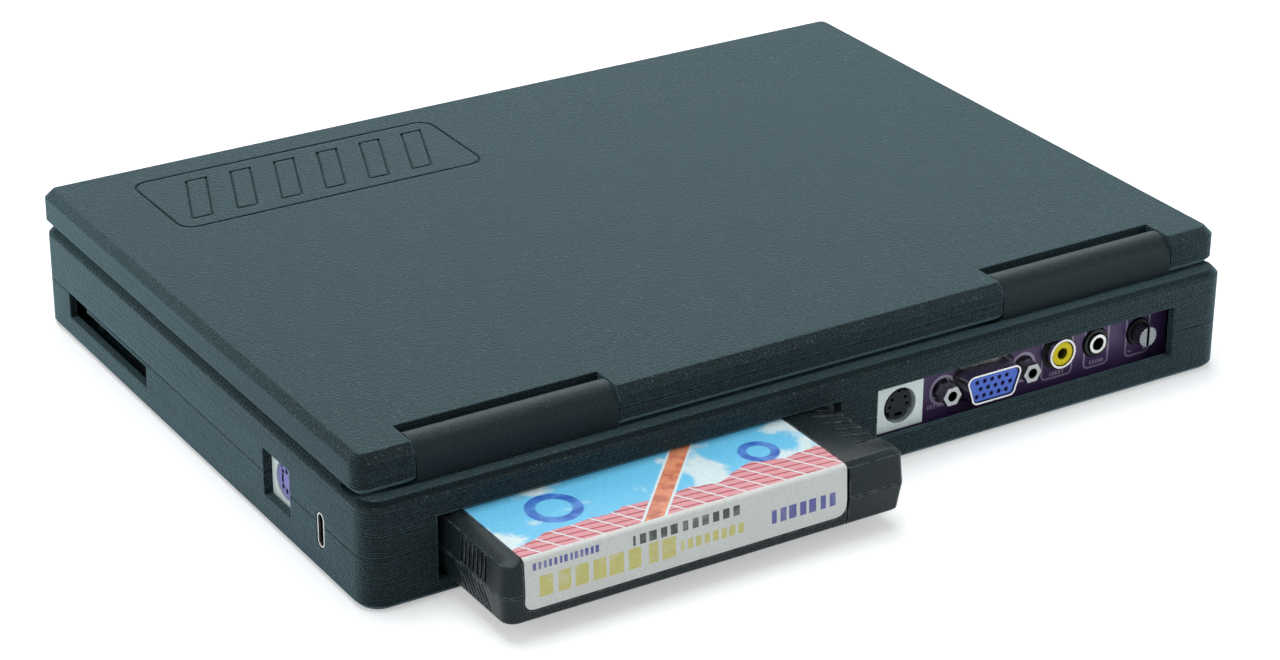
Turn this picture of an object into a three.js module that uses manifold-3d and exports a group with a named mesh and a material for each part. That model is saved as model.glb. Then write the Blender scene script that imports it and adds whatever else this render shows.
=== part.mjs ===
import * as THREE from 'three';
import { mergeVertices } from 'three/addons/utils/BufferGeometryUtils.js';
import Module from 'manifold-3d';

const wasm = await Module();
wasm.setup();

// A closed clamshell laptop with a game cartridge plugged into its rear slot.
// Millimetres, +Z up, +Y to the hinge side, +X to the user's right.
// The origin is the middle of the underside, on the table.

// Clearances and cutting
const gap = 0.3; // between neighbouring pieces
const overrun = 1; // how far a cut passes the face it opens
const cornerSteps = 5; // segments of a rounded corner
const roundSides = 24; // sides of a visible round
const smallSides = 10; // sides of a small round
const pinSides = 6; // sides of a pin hole
const leastRadius = 0.4; // the sharpest corner

// Case, the two halves of the base
const caseWidth = 250;
const caseDepth = 183.5;
const caseCorner = 6; // plan radius of the upright edges
const caseFootChamfer = 1.2;
const caseSeamZ = 13.4; // parting line between the halves
const caseSideZ = 25.8; // top of the upright sides
const caseDeckChamfer = 1.6;
const caseWall = 2;
const caseFloor = 2;
const caseDeck = 2;
const caseLipThickness = 0.8; // tongue that keys the halves together
const caseLipHeight = 1.4;
const caseTopZ = caseSideZ + caseDeckChamfer;
const deckUnderZ = caseTopZ - caseDeck;
const lowerTopZ = caseSeamZ - gap / 2;
const upperFootZ = caseSeamZ + gap / 2;
const caseRight = caseWidth / 2;
const caseRear = caseDepth / 2;
const wallInnerX = caseRight - caseWall;
const wallInnerY = caseRear - caseWall;

// Screw pillars that join the halves
const pillarRadius = 3.2;
const pillarBore = 1.3;
const pillarInset = 10; // from the outer faces
const pillarHeadRadius = 2.6; // countersink under the base
const pillarHeadDepth = 1.4;
const rearPillarInset = 21.75; // the one between the cartridge slot and the connector bay

// Lid
const lidPlay = 0.25; // the lid is this much inside the case sides
const lidCorner = 3.7;
const lidSetback = 4.65; // the lid stops short of the case's rear face
const lidFootZ = caseTopZ + gap;
const lidFootChamfer = 1.6;
const lidSideHeight = 6.1;
const lidTopChamfer = 2.1;
const lidWall = 2.4;
const lidRoof = 1.8;
const lidRight = caseRight - lidPlay;
const lidFront = -caseRear + lidPlay;
const lidRear = caseRear - lidSetback;
const lidSideFootZ = lidFootZ + lidFootChamfer;
const lidSideTopZ = lidSideFootZ + lidSideHeight;
const lidTopZ = lidSideTopZ + lidTopChamfer;
const lidRoofZ = lidTopZ - lidRoof;
const lidSeamZ = 32.4; // joint line on the rear face between the hinges
const frameSideInset = 20.55; // engraved frame in the lid's top, from the lid's sides
const frameFrontInset = 10.6;
const frameLength = 88.6;
const frameDepth = 33.9;
const frameCorner = 4.5;
const engravedWidth = 0.7;
const engravedDepth = 0.5;
const barCount = 6; // slanted bars engraved inside the frame
const barWidth = 6.4;
const barPitch = 12.8;
const barMargin = 5.2; // from the frame to the bars' ends
const barLean = 9; // sideways run of a whole bar

// Hinges: the barrel covers stand on the case in two notches of the lid
const hingeZ = 32;
const barrelRadius = lidTopZ - hingeZ; // the barrels are flush with the lid's top
const hingeY = lidRear - barrelRadius; // and with its rear edge
const notchSideInset = 15.25; // from the lid's side to the notch
const notchWidth = 53.9;
const notchOuterX = lidRight - notchSideInset;
const notchInnerX = notchOuterX - notchWidth;
const notchFrontReach = 5.2; // from the axis to the notch's front edge in the lid's top
const notchFrontY = hingeY - notchFrontReach;
const notchPlay = 0.5; // running gap round the barrel
const notchSideWall = 1.8;
const coverPlay = 0.35; // gap at each end of a cover
const coverWall = 1.5;
const pinRadius = 1.8;
const knuckleRadius = 3.4;
const knuckleStart = 10; // from the notch's inner edge
const knuckleLength = 24;
const bracketFoot = 1.2; // plate thickness
const bracketLength = 42;
const bracketStart = 6.5;
const armEyeRadius = 2.8;
const armEyeLength = 3.6;
const armLeafThickness = 1.2;
const armLeafShare = 0.71; // of the way from the eye to the middle
const armLeafReach = 15.6;
const pinLidLength = 8; // how far the pin runs into the lid
const troughRadius = 7; // the lid's rear edge swings down into it
const troughWall = 2;

// Screen
const windowSideInset = 16.25; // from the lid's side to the window
const windowFrontInset = 11.7;
const windowRearInset = 31.3;
const windowWidth = 2 * (lidRight - windowSideInset);
const windowFront = lidFront + windowFrontInset;
const windowRear = lidRear - windowRearInset;
const windowDepth = windowRear - windowFront;
const windowY = (windowFront + windowRear) / 2;
const bezelThickness = 1.8;
const bezelFlange = 2.1;
const glassMargin = 5; // past the window on each side
const glassThickness = 0.7;
const panelMargin = 6.5;
const panelThickness = 2.4;
const padRadius = 3;
const padColumns = 3;

// Keyboard
const fieldUnits = 15; // keys in a full row
const keyFieldInset = 11; // from the case's sides to the key field
const keyFieldRearInset = 28.15; // from the case's rear to the key field
const keyPitch = (caseWidth - 2 * keyFieldInset) / fieldUnits;
const keyGap = 0.8;
const keyDraft = 1.2; // how much a cap narrows to its top on each side
const keyTopZ = 26.9;
const keyDish = 0.35;
const keyTravel = 1.4;
const stemSize = 4;
const stemLength = 2.6;
const keyPlateTopZ = 23.4;
const keyPlateThickness = 1.5;
const keyPlateMargin = 3;
const keyFootZ = keyPlateTopZ + gap + keyTravel; // lower edge of a moving cap
const wellMargin = 0.4;
const wellRib = 2;
const keyRows = [
  { shares: [1.5, 1.5, 1.5, 1.5, 1.5, 1.5, 1.5, 1.5, 1.5, 1.5], names: {} },
  { shares: Array(15).fill(1), names: { 0: 'escape_key', 14: 'backspace_key' } },
  { shares: [1.5, ...Array(12).fill(1), 1.5], names: { 0: 'tab_key' } },
  { shares: [1.75, ...Array(11).fill(1), 2.25], names: { 0: 'control_key', 12: 'enter_key' } },
  { shares: [2.25, ...Array(10).fill(1), 1.75, 1],
    names: { 0: 'left_shift_key', 11: 'right_shift_key', 12: 'arrow_up_key' } },
  { shares: [1.25, 1.25, 7, 1.25, 1.25, 1, 1, 1],
    names: { 2: 'space_key', 5: 'arrow_left_key', 6: 'arrow_down_key', 7: 'arrow_right_key' } },
];
const keyFieldDepth = keyRows.length * keyPitch;
const keyFieldY = caseRear - keyFieldRearInset - keyFieldDepth / 2;

// Power button in the strip behind the keys
const buttonRadius = 4.2;
const buttonSideInset = 21;
const buttonHingeInset = 11.4; // in front of the hinge axis
const buttonX = caseRight - buttonSideInset;
const buttonY = hingeY - buttonHingeInset;
const buttonDrop = 0.1; // below the deck
const buttonHeight = 1.4;
const buttonTravel = 0.8;
const buttonStemRadius = 1.6;
const buttonStemLength = 3.4;
const buttonPlateThickness = 1.2;
const buttonPlateSize = 12;

// Main board
const boardTopZ = 6.5;
const boardThickness = 1.6;
const boardFrontInset = 71.75; // from the case's front
const boardFrontY = -caseRear + boardFrontInset;
const boardMargin = 1.4; // to the case walls
const standoffRadius = 2.6;
const chipHeight = 1.4;
const chipSize = 16;

// Cartridge slot and the cartridge in it
const slotSideInset = 18.3; // from the case's side to the slot
const slotBayWall = 10.9; // between the slot and the connector bay
const slotTopZ = 20.8;
const slotFootZ = 3.8;
const slotEndPlay = 1.15; // from the guides' inner end to the cartridge
const guideWall = 1.6;
const guideRoof = 0.8;
const railWidth = 2;
const railCount = 4;
const cartridgeLeftPlay = 1.75; // left and right as seen from the rear
const cartridgeRightPlay = 0.7;
const cartridgePlay = 0.4; // above and below
const cartridgeProud = 27.65; // how far it stands out of the rear face
const cartridgeLength = 68.5;
const cartridgeSeamZ = 11.5;
const cartridgeLeftCorner = 3;
const cartridgeRightCorner = 1.5;
const cartridgeBevel = 1.5; // width of the bevel round the top
const cartridgeBevelHeight = 1;
const cartridgeFootBevel = 0.5;
const cartridgeTaper = 0.8; // the lower half narrows by this to its foot
const cartridgeDraft = 0.5; // and the upper half by this to its bevel
const cartridgeWall = 2;
const cartridgeBoard = 1.6; // board thickness
const mouthSideInset = 16.2; // from the cartridge's side to its mouth
const mouthHeight = 7.4;
const mouthDepth = 11;
const cartridgeRightBlock = 16.55; // plain end beside the label
const cartridgeLeftBlock = 5.2;
const labelThickness = 0.3;
const labelRecess = 0.6;
const labelCorner = 2.5;
const labelFrontMargin = 9;
const labelFootZ = 7.2;
const labelLineWidth = 0.5; // the line that runs down beside the label
const labelLineDepth = 0.5;
const gripCount = 7;
const gripPitch = 1.82;
const gripWidth = 0.9;
const gripDepth = 0.7;
const gripRearInset = 9.25; // last groove, from the cartridge's rear
const gripEndInset = 0.6; // plain edge above and below the grooves
const gripLean = 3.3; // lean of the lower grooves
const grooveCount = 6; // sloping grooves across the right end of the top
const groovePitch = 3.78;
const grooveWidth = 2.2;
const grooveReach = 9.7;
const grooveDrop = 2.8; // fall of a groove's floor towards the side
const ridgeDrop = 1.9; // and of the ridges between the grooves
const grooveRearInset = 9;

// Cartridge socket on the main board
const socketEnd = 4; // how far the body runs past the mouth
const socketBody = 12;
const socketHeight = 10.8;
const socketNose = 7;
const socketNoseWall = 2.2;
const socketSlit = 2.4;

// Connector bay in the rear wall
const baySideInset = 17.1; // from the case's side
const volumeBayInset = 6.3; // from the bay's left edge to the volume control's axis
const volumeToAudio = 14; // from axis to axis
const audioToRca = 12.4;
const rcaToVga = 23.2;
const vgaToVideo = 28.2;
const videoBayInset = 8.8; // from the round socket's axis to the bay's right edge
const bayLeft = -caseRight + baySideInset;
const volumeX = bayLeft + volumeBayInset;
const audioX = volumeX + volumeToAudio;
const rcaX = audioX + audioToRca;
const vgaX = rcaX + rcaToVga;
const videoX = vgaX + vgaToVideo;
const bayRight = videoX + videoBayInset; // edge next to the cartridge slot
const bayFootZ = 6.7;
const bayTopZ = 20.6;
const panelInset = 6.35; // from the case's rear face to the upright board behind the connectors
const panelFrontY = caseRear - panelInset;
const panelThick = 1.6;
const panelPlay = 0.6; // to the round socket beside it
const panelLap = 3.3; // how far it runs behind the case wall
const panelTopZ = 21.8;

// Round multi-pin sockets, one in the bay and one in the side
const dinSize = 14;
const dinHeight = 13;
const dinDepth = 12.6;
const dinCentre = 6.4; // above the housing's foot
const dinRadius = 4.8;
const dinInsertRadius = 4.45;
const dinBossRadius = 3.9; // raised middle of the insert
const dinGrooveDepth = 2;
const dinInsertDrop = 0.6;
const dinInsertDepth = 6;
const dinPinRing = 2.6;
const dinPinRadius = 0.5;
const dinNotchRadius = 0.7;
const dinKeyWidth = 2.2;
const dinKeyHeight = 0.9;
const videoProud = 3.5; // in front of the upright board
const videoFaceY = panelFrontY + videoProud;
const sideDinRearInset = 45.05; // from the case's rear
const sideDinY = caseRear - sideDinRearInset;
const sideDinWindow = 13.9;
const sideDinFootZ = 7.3;
const sideDinTopZ = 19.8;

// Fifteen-pin video connector
const vgaZ = 11.8;
const vgaRows = 3;
const vgaColumns = 5;
const vgaProud = 4.8;
const vgaFrontY = panelFrontY + vgaProud;
const vgaHalfTop = 8.3;
const vgaHalfFoot = 6.9;
const vgaHalfHeight = 4.1;
const vgaCorner = 2;
const vgaSheet = 0.5;
const vgaFlangeWidth = 30.8;
const vgaFlangeHeight = 12.4;
const vgaFlangeThickness = 0.8;
const vgaInsertDrop = 0.4;
const vgaPinPitchX = 2.29;
const vgaPinPitchZ = 1.98;
const vgaPinRadius = 0.5;
const vgaPinDepth = 2;
const vgaWindowMargin = 1.4;
const studSpacing = 24.99;
const studFlats = 4.8;
const studProud = 4.2;
const studFrontY = panelFrontY + studProud;
const studBore = 1.4;
const studBoreDepth = 4;
const studWindowRadius = 3.3;

// Composite video jack
const rcaZ = 13.9;
const rcaProud = 2.7;
const rcaFrontY = panelFrontY + rcaProud;
const rcaBody = 10;
const rcaBodyDepth = 9;
const rcaFootRadius = 4.9; // the barrel's foot at the panel
const rcaFootHeight = 0.4;
const rcaBarrelRadius = 4.35;
const rcaRingProud = 1.5; // how far the bright ring stands out of the barrel
const rcaRingRadius = 4.05;
const rcaStemRadius = 3.7; // the ring inside the barrel
const rcaRingWall = 0.6;
const rcaInsertDrop = 0.3;
const rcaInsertBore = 1.6;
const rcaInsertDepth = 7;

// Headphone jack
const audioZ = 13.1;
const audioProud = 1.4;
const audioFrontY = panelFrontY + audioProud;
const audioNoseRadius = 3.8;
const audioNoseProud = 0.7;
const audioNoseFrontY = panelFrontY + audioNoseProud;
const audioRingRadius = 2.62;
const audioBore = 1.8;
const audioBodyWidth = 9;
const audioBodyDepth = 10;

// Volume control
const volumeZ = 12.8;
const volumeBodyWidth = 9.6;
const volumeBodyDepth = 5;
const volumeBushRadius = 3.55;
const volumeBushProud = 0.8;
const volumeBushFrontY = panelFrontY + volumeBushProud;
const volumeShaftRadius = 2.9;
const volumeShaftProud = 4.3;
const volumeShaftFrontY = panelFrontY + volumeShaftProud;
const volumeShaftCore = 1.8;
const volumeSplit = 0.8;
const volumeTeeth = 18;
const volumeToothDepth = 0.35;

// Power and data port in the side
const portRearInset = 22.35; // from the case's rear
const portY = caseRear - portRearInset;
const portZ = 11.7;
const portLength = 8.94;
const portWidth = 3.26;
const portSheet = 0.35;
const portDepth = 7.4;
const portTongue = 0.7;
const portTongueLength = 6.7;
const portTongueDrop = 1;

// Card slot in the side
const cardFrontInset = 16.25; // from the case's front
const cardLength = 48.2;
const cardStepLength = 11.5; // the slot is taller over its front stretch
const cardFrontY = -caseRear + cardFrontInset;
const cardStepY = cardFrontY + cardStepLength;
const cardRearY = cardFrontY + cardLength;
const cardFootZ = 6.4;
const cardStepZ = 12.4; // the slot's top beyond the step
const cardSocketInset = 6.4; // from the case's side
const cardSocketX = caseRight - cardSocketInset;
const cardSocketDepth = 28;
const cardSocketMargin = 1.6;
const cardSocketZ = 5.4;
const cardSocketHeight = 7.4;
const cardSlitHeight = 4.4;
const cardSlitWidth = 43.4;
const cardSlitDepth = 22;
const cardRailWidth = 3; // ribs that carry the card socket

// Battery and speaker under the palm rest
const batteryLeftInset = 42; // room for the speaker
const batteryRightInset = 58; // room for the card socket
const batteryFrontInset = 13.75;
const batteryDepth = 55;
const batteryHeight = 7.5;
const batteryCorner = 3;
const speakerLength = 40;
const speakerWidth = 20;
const speakerHeight = 5;
const speakerSideInset = 21;
const speakerFrontInset = 37.75;
const speakerX = -caseRight + speakerSideInset;
const speakerY = -caseRear + speakerFrontInset;
const speakerConeRadius = 7.5;
const speakerConeDepth = 1.2;

// Shape tools

function roundedRect(x0, x1, y0, y1, radius, steps = cornerSteps) {
  const r = Math.max(radius, leastRadius);
  const corners = [[x1 - r, y1 - r], [x0 + r, y1 - r], [x0 + r, y0 + r], [x1 - r, y0 + r]];
  const points = [];
  corners.forEach(([cx, cy], quarter) => {
    for (let i = 0; i <= steps; i++) {
      const a = (quarter + i / steps) * Math.PI / 2;
      points.push(new THREE.Vector2(cx + r * Math.cos(a), cy + r * Math.sin(a)));
    }
  });
  return points;
}

// A corner that is rounded on some edges only: radii follow the corners of roundedRect.
function mixedRect(x0, x1, y0, y1, radii, steps = cornerSteps) {
  const at = [[x1, y1, -1, -1], [x0, y1, 1, -1], [x0, y0, 1, 1], [x1, y0, -1, 1]];
  const points = [];
  at.forEach(([x, y, sx, sy], quarter) => {
    const r = radii[quarter];
    if (r === 0) {
      points.push(new THREE.Vector2(x, y));
      return;
    }
    for (let i = 0; i <= steps; i++) {
      const a = (quarter + i / steps) * Math.PI / 2;
      points.push(new THREE.Vector2(x + sx * r + r * Math.cos(a), y + sy * r + r * Math.sin(a)));
    }
  });
  return points;
}

function solid(geometry) {
  const bare = geometry.index ? geometry.toNonIndexed() : geometry.clone();
  bare.deleteAttribute('normal');
  bare.deleteAttribute('uv');
  const merged = mergeVertices(bare, 1e-5);
  return new wasm.Manifold(new wasm.Mesh({
    numProp: 3,
    vertProperties: new Float32Array(merged.attributes.position.array),
    triVerts: new Uint32Array(merged.index.array),
  }));
}

// Rings of equally many points, one above the other, closed at both ends.
function ringStack(rings) {
  const count = rings[0].outline.length;
  const positions = [];
  const put = (ring, i) => {
    const p = rings[ring].outline[i % count];
    positions.push(p.x, p.y, rings[ring].z);
  };
  for (let ring = 0; ring + 1 < rings.length; ring++) {
    for (let i = 0; i < count; i++) {
      put(ring, i); put(ring, i + 1); put(ring + 1, i + 1);
      put(ring, i); put(ring + 1, i + 1); put(ring + 1, i);
    }
  }
  const last = rings.length - 1;
  for (const [a, b, c] of THREE.ShapeUtils.triangulateShape(rings[0].outline, [])) {
    put(0, a); put(0, c); put(0, b);
  }
  for (const [a, b, c] of THREE.ShapeUtils.triangulateShape(rings[last].outline, [])) {
    put(last, a); put(last, b); put(last, c);
  }
  const geometry = new THREE.BufferGeometry();
  geometry.setAttribute('position', new THREE.Float32BufferAttribute(positions, 3));
  return solid(geometry);
}

function plate(outline, z0, z1) {
  return ringStack([{ outline, z: z0 }, { outline, z: z1 }]);
}

function block(x0, x1, y0, y1, z0, z1) {
  const geometry = new THREE.BoxGeometry(x1 - x0, y1 - y0, z1 - z0);
  geometry.translate((x0 + x1) / 2, (y0 + y1) / 2, (z0 + z1) / 2);
  return solid(geometry);
}

// Moves a profile's depth to run along an axis: u, v are the profile's own axes.
const turns = {
  x: new THREE.Matrix4().set(0, 0, 1, 0, 1, 0, 0, 0, 0, 1, 0, 0, 0, 0, 0, 1),
  y: new THREE.Matrix4().set(1, 0, 0, 0, 0, 0, -1, 0, 0, 1, 0, 0, 0, 0, 0, 1),
  z: new THREE.Matrix4(),
};

// A profile in (y, z), (x, z) or (x, y) drawn out along x, y or z.
function drawn(axis, outline, from, to) {
  const geometry = new THREE.ExtrudeGeometry(new THREE.Shape(outline), {
    depth: to - from, bevelEnabled: false, steps: 1,
  });
  geometry.applyMatrix4(turns[axis]);
  const shift = axis === 'y' ? to : from;
  geometry.translate(axis === 'x' ? shift : 0, axis === 'y' ? shift : 0, axis === 'z' ? shift : 0);
  return solid(geometry);
}

function circle(u, v, radius, sides, turn = 0) {
  return Array.from({ length: sides }, (_, i) => {
    const a = turn + i / sides * 2 * Math.PI;
    return new THREE.Vector2(u + radius * Math.cos(a), v + radius * Math.sin(a));
  });
}

function rod(axis, u, v, radius, from, to, sides = roundSides) {
  return drawn(axis, circle(u, v, radius, sides), from, to);
}

const join = (first, ...rest) => rest.reduce((sum, part) => sum.add(part), first);
const cut = (first, ...rest) => rest.reduce((left, part) => left.subtract(part), first);

const finishes = {
  casing: { color: 0x2b3033, roughness: 0.62, metalness: 0 },
  keycap: { color: 0x33383b, roughness: 0.55, metalness: 0 },
  board: { color: 0x3d2c56, roughness: 0.45, metalness: 0 },
  whitePlastic: { color: 0xdfe4e2, roughness: 0.45, metalness: 0 },
  blackPlastic: { color: 0x15171a, roughness: 0.5, metalness: 0 },
  purplePlastic: { color: 0x5a4fa0, roughness: 0.5, metalness: 0 },
  bluePlastic: { color: 0x2f57c8, roughness: 0.5, metalness: 0 },
  yellowPlastic: { color: 0xc9b90c, roughness: 0.45, metalness: 0 },
  chrome: { color: 0xd8d8d4, roughness: 0.22, metalness: 1 },
  steel: { color: 0xa8abae, roughness: 0.4, metalness: 1 },
  glass: { color: 0x0a0c0f, roughness: 0.12, metalness: 0 },
  cell: { color: 0x3a3f44, roughness: 0.6, metalness: 0 },
  label: { color: 0xbcd9e6, roughness: 0.5, metalness: 0 },
};
const materials = Object.fromEntries(
  Object.entries(finishes).map(([name, finish]) => [name, new THREE.MeshStandardMaterial(finish)]),
);

function piece(name, shape, finish) {
  const mesh = shape.getMesh();
  const geometry = new THREE.BufferGeometry();
  const positions = new Float32Array(mesh.numVert * 3);
  for (let i = 0; i < mesh.numVert; i++) {
    for (let k = 0; k < 3; k++) positions[i * 3 + k] = mesh.vertProperties[i * mesh.numProp + k];
  }
  geometry.setAttribute('position', new THREE.BufferAttribute(positions, 3));
  geometry.setIndex(new THREE.BufferAttribute(new Uint32Array(mesh.triVerts), 1));
  geometry.computeVertexNormals();
  const made = new THREE.Mesh(geometry, materials[finish]);
  made.name = name;
  return made;
}

// Outlines that several pieces share

const caseOutline = (inset) => roundedRect(
  -caseRight + inset, caseRight - inset, -caseRear + inset, caseRear - inset, caseCorner - inset);
const lidOutline = (inset) => roundedRect(
  -lidRight + inset, lidRight - inset, lidFront + inset, lidRear - inset, lidCorner - inset);

const slotLeft = bayRight + slotBayWall;
const slotRight = caseRight - slotSideInset;
const slotWidth = slotRight - slotLeft;
const slotX = (slotLeft + slotRight) / 2;
const pillarPlaces = [
  [-caseRight + pillarInset, -caseRear + pillarInset],
  [caseRight - pillarInset, -caseRear + pillarInset],
  [-caseRight + pillarInset, caseRear - pillarInset],
  [caseRight - pillarInset, caseRear - pillarInset],
  [0, -caseRear + pillarInset],
  [(slotLeft + bayRight) / 2, caseRear - rearPillarInset],
];

const cartridgeRear = caseRear + cartridgeProud;
const cartFrontY = cartridgeRear - cartridgeLength;
const guideFrontY = cartFrontY - slotEndPlay;

const stadium = (u, v, width, length, inset = 0) => roundedRect(
  u - width / 2 + inset, u + width / 2 - inset, v - length / 2 + inset, v + length / 2 - inset,
  width / 2 - inset);

const buttonTopZ = caseTopZ - buttonDrop;
const buttonFootZ = buttonTopZ - buttonHeight;
const buttonPocketZ = buttonFootZ - buttonTravel - gap;

// Openings in the case walls, cut from both halves

function wallOpenings() {
  const rear = [wallInnerY - caseWall - overrun, caseRear + overrun];
  const side = [wallInnerX - caseWall - overrun, caseRight + overrun];
  return [
    block(slotLeft, slotRight, ...rear, slotFootZ, slotTopZ),
    block(bayLeft, bayRight, ...rear, bayFootZ, bayTopZ),
    block(...side, sideDinY - sideDinWindow / 2, sideDinY + sideDinWindow / 2, sideDinFootZ, sideDinTopZ),
    drawn('x', stadium(portY, portZ, portWidth, portLength, -gap), ...side),
    block(...side, cardFrontY, cardStepY, cardFootZ, caseSeamZ),
    block(...side, cardFrontY, cardRearY, cardFootZ, cardStepZ),
  ];
}

function makeLowerCase() {
  const hull = ringStack([
    { outline: caseOutline(caseFootChamfer), z: 0 },
    { outline: caseOutline(0), z: caseFootChamfer },
    { outline: caseOutline(0), z: lowerTopZ },
  ]);
  const lip = cut(
    plate(caseOutline(caseWall - caseLipThickness), caseSeamZ - overrun, lowerTopZ + caseLipHeight),
    plate(caseOutline(caseWall), caseSeamZ - overrun - overrun, lowerTopZ + caseLipHeight + overrun));
  let shell = join(cut(hull, plate(caseOutline(caseWall), caseFloor, caseSeamZ)), lip);

  const under = caseFloor / 2;
  const guides = [];
  for (const [x0, x1] of [[slotLeft - guideWall, slotLeft], [slotRight, slotRight + guideWall]]) {
    guides.push(block(x0, x1, guideFrontY, wallInnerY + under, under, lowerTopZ));
  }
  for (let i = 0; i < railCount; i++) {
    const x = slotLeft + (i + 0.5) / railCount * slotWidth;
    guides.push(block(x - railWidth / 2, x + railWidth / 2, guideFrontY, wallInnerY + under,
      under, slotFootZ));
  }
  for (const y of [cardFrontY, cardRearY - cardRailWidth * 2]) {
    guides.push(block(cardSocketX - cardSocketDepth + gap, cardSocketX - gap, y + cardRailWidth,
      y + cardRailWidth * 2, under, cardSocketZ - gap));
  }
  const pillars = pillarPlaces.map(([x, y]) => rod('z', x, y, pillarRadius, under, lowerTopZ, smallSides));
  const standoffs = standoffPlaces.map(
    ([x, y]) => rod('z', x, y, standoffRadius, under, boardTopZ - boardThickness - gap, smallSides));
  shell = join(shell, ...guides, ...pillars, ...standoffs);

  const bores = pillarPlaces.flatMap(([x, y]) => [
    rod('z', x, y, pillarBore, -overrun, lowerTopZ + overrun, smallSides),
    rod('z', x, y, pillarHeadRadius, -overrun, pillarHeadDepth, smallSides),
  ]);
  return cut(shell, ...wallOpenings(), ...bores);
}

// How far the lid's rear edge reaches from the hinge axis, along the lid's rounded rear corner
function lidSweep() {
  return Array.from({ length: cornerSteps + 1 }, (_, i) => {
    const a = i / cornerSteps * Math.PI / 2;
    const x = lidRight - lidCorner + lidCorner * Math.sin(a);
    const y = lidRear - lidCorner + lidCorner * Math.cos(a);
    return [Math.hypot(y - hingeY, lidSideTopZ - hingeZ) + notchPlay, x];
  });
}

// The trough outside a hinge notch: it narrows towards the case's side as the lid's corner does.
function troughEnd(sign) {
  const sweep = lidSweep();
  const profile = [[0, notchOuterX], [troughRadius, notchOuterX], ...sweep, [0, sweep.at(-1)[1]]]
    .map(([r, along]) => new THREE.Vector2(r, along));
  const geometry = new THREE.LatheGeometry(profile, roundSides);
  geometry.rotateZ(-Math.PI / 2);
  if (sign < 0) geometry.rotateY(Math.PI);
  geometry.translate(0, hingeY, hingeZ);
  return solid(geometry);
}

function makeUpperCase() {
  const hull = ringStack([
    { outline: caseOutline(0), z: upperFootZ },
    { outline: caseOutline(0), z: caseSideZ },
    { outline: caseOutline(caseDeckChamfer), z: caseTopZ },
  ]);
  const rebateTop = lowerTopZ + caseLipHeight + gap;
  const rebate = cut(
    plate(caseOutline(caseWall - caseLipThickness - gap), upperFootZ - overrun, rebateTop),
    plate(caseOutline(caseWall + gap), upperFootZ - overrun - overrun, rebateTop + overrun));
  const shell = cut(hull, plate(caseOutline(caseWall), upperFootZ - overrun, deckUnderZ));

  const bed = rod('x', hingeY, hingeZ, troughRadius + troughWall, -wallInnerX - caseWall / 2,
    wallInnerX + caseWall / 2).intersect(hull);
  const well = {
    x: fieldUnits * keyPitch / 2 + wellMargin,
    y0: keyFieldY - keyFieldDepth / 2 - wellMargin,
    y1: keyFieldY + keyFieldDepth / 2 + wellMargin,
  };
  const inDeck = deckUnderZ + caseDeck / 2;
  const wellFrame = block(-well.x - wellRib, well.x + wellRib, well.y0 - wellRib, well.y1 + wellRib,
    keyPlateTopZ + gap, inDeck);
  const pillars = pillarPlaces.map(
    ([x, y]) => rod('z', x, y, pillarRadius, upperFootZ, inDeck, smallSides));

  const roofZ = slotTopZ + guideRoof;
  const tunnel = cut(
    block(slotLeft - guideWall, slotRight + guideWall, guideFrontY, wallInnerY + caseWall / 2,
      upperFootZ, roofZ),
    block(slotLeft, slotRight, guideFrontY - overrun, caseRear + overrun, upperFootZ - overrun, slotTopZ));
  const webFrontY = well.y1 + keyPlateMargin + guideWall;
  const webs = [slotLeft - guideWall, slotRight].map(
    (x) => block(x, x + guideWall, webFrontY, wallInnerY + caseWall / 2, slotTopZ, inDeck));
  const halfPlate = buttonPlateSize / 2;
  const buttonGuide = block(buttonX - halfPlate, buttonX + halfPlate,
    buttonY - halfPlate, buttonY + halfPlate, buttonPocketZ - buttonPlateThickness, inDeck);

  const whole = join(shell, bed, wellFrame, ...pillars, tunnel, ...webs, buttonGuide);
  const trough = rod('x', hingeY, hingeZ, troughRadius, -notchInnerX, notchInnerX);
  return cut(
    whole,
    rebate,
    block(-well.x, well.x, well.y0, well.y1, keyPlateTopZ - overrun, caseTopZ + overrun),
    rod('z', buttonX, buttonY, buttonRadius + gap, buttonPocketZ, caseTopZ + overrun),
    rod('z', buttonX, buttonY, buttonStemRadius + gap, buttonPocketZ - buttonPlateThickness - overrun,
      caseTopZ),
    ...pillarPlaces.map(
      ([x, y]) => rod('z', x, y, pillarBore, upperFootZ - overrun, deckUnderZ - overrun, smallSides)),
    ...wallOpenings(),
    trough, troughEnd(1), troughEnd(-1));
}

// Hinges

// The cover's end view: upright front and rear under a half round.
function barrelOutline(inset, footZ) {
  const r = barrelRadius - inset;
  const half = roundSides / 2;
  const arc = Array.from({ length: half + 1 }, (_, i) => {
    const a = i / half * Math.PI;
    return new THREE.Vector2(hingeY + r * Math.cos(a), hingeZ + r * Math.sin(a));
  });
  return [...arc, new THREE.Vector2(hingeY - r, footZ), new THREE.Vector2(hingeY + r, footZ)];
}

// Builds a hinge piece for the right side, or its mirror for the left one.
function mirrored(sign, x0, x1) {
  return sign > 0 ? [x0, x1] : [-x1, -x0];
}

function makeHingeCover(sign) {
  const ends = [notchInnerX + coverPlay, notchOuterX - coverPlay];
  const footZ = caseTopZ + gap;
  return cut(
    drawn('x', barrelOutline(0, footZ), ...mirrored(sign, ...ends)),
    drawn('x', barrelOutline(coverWall, footZ - overrun),
      ...mirrored(sign, ends[0] + coverWall, ends[1] - coverWall)),
    rod('x', hingeY, hingeZ, pinRadius + gap,
      ...mirrored(sign, ends[0] - overrun, ends[0] + coverWall + overrun)));
}

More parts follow.
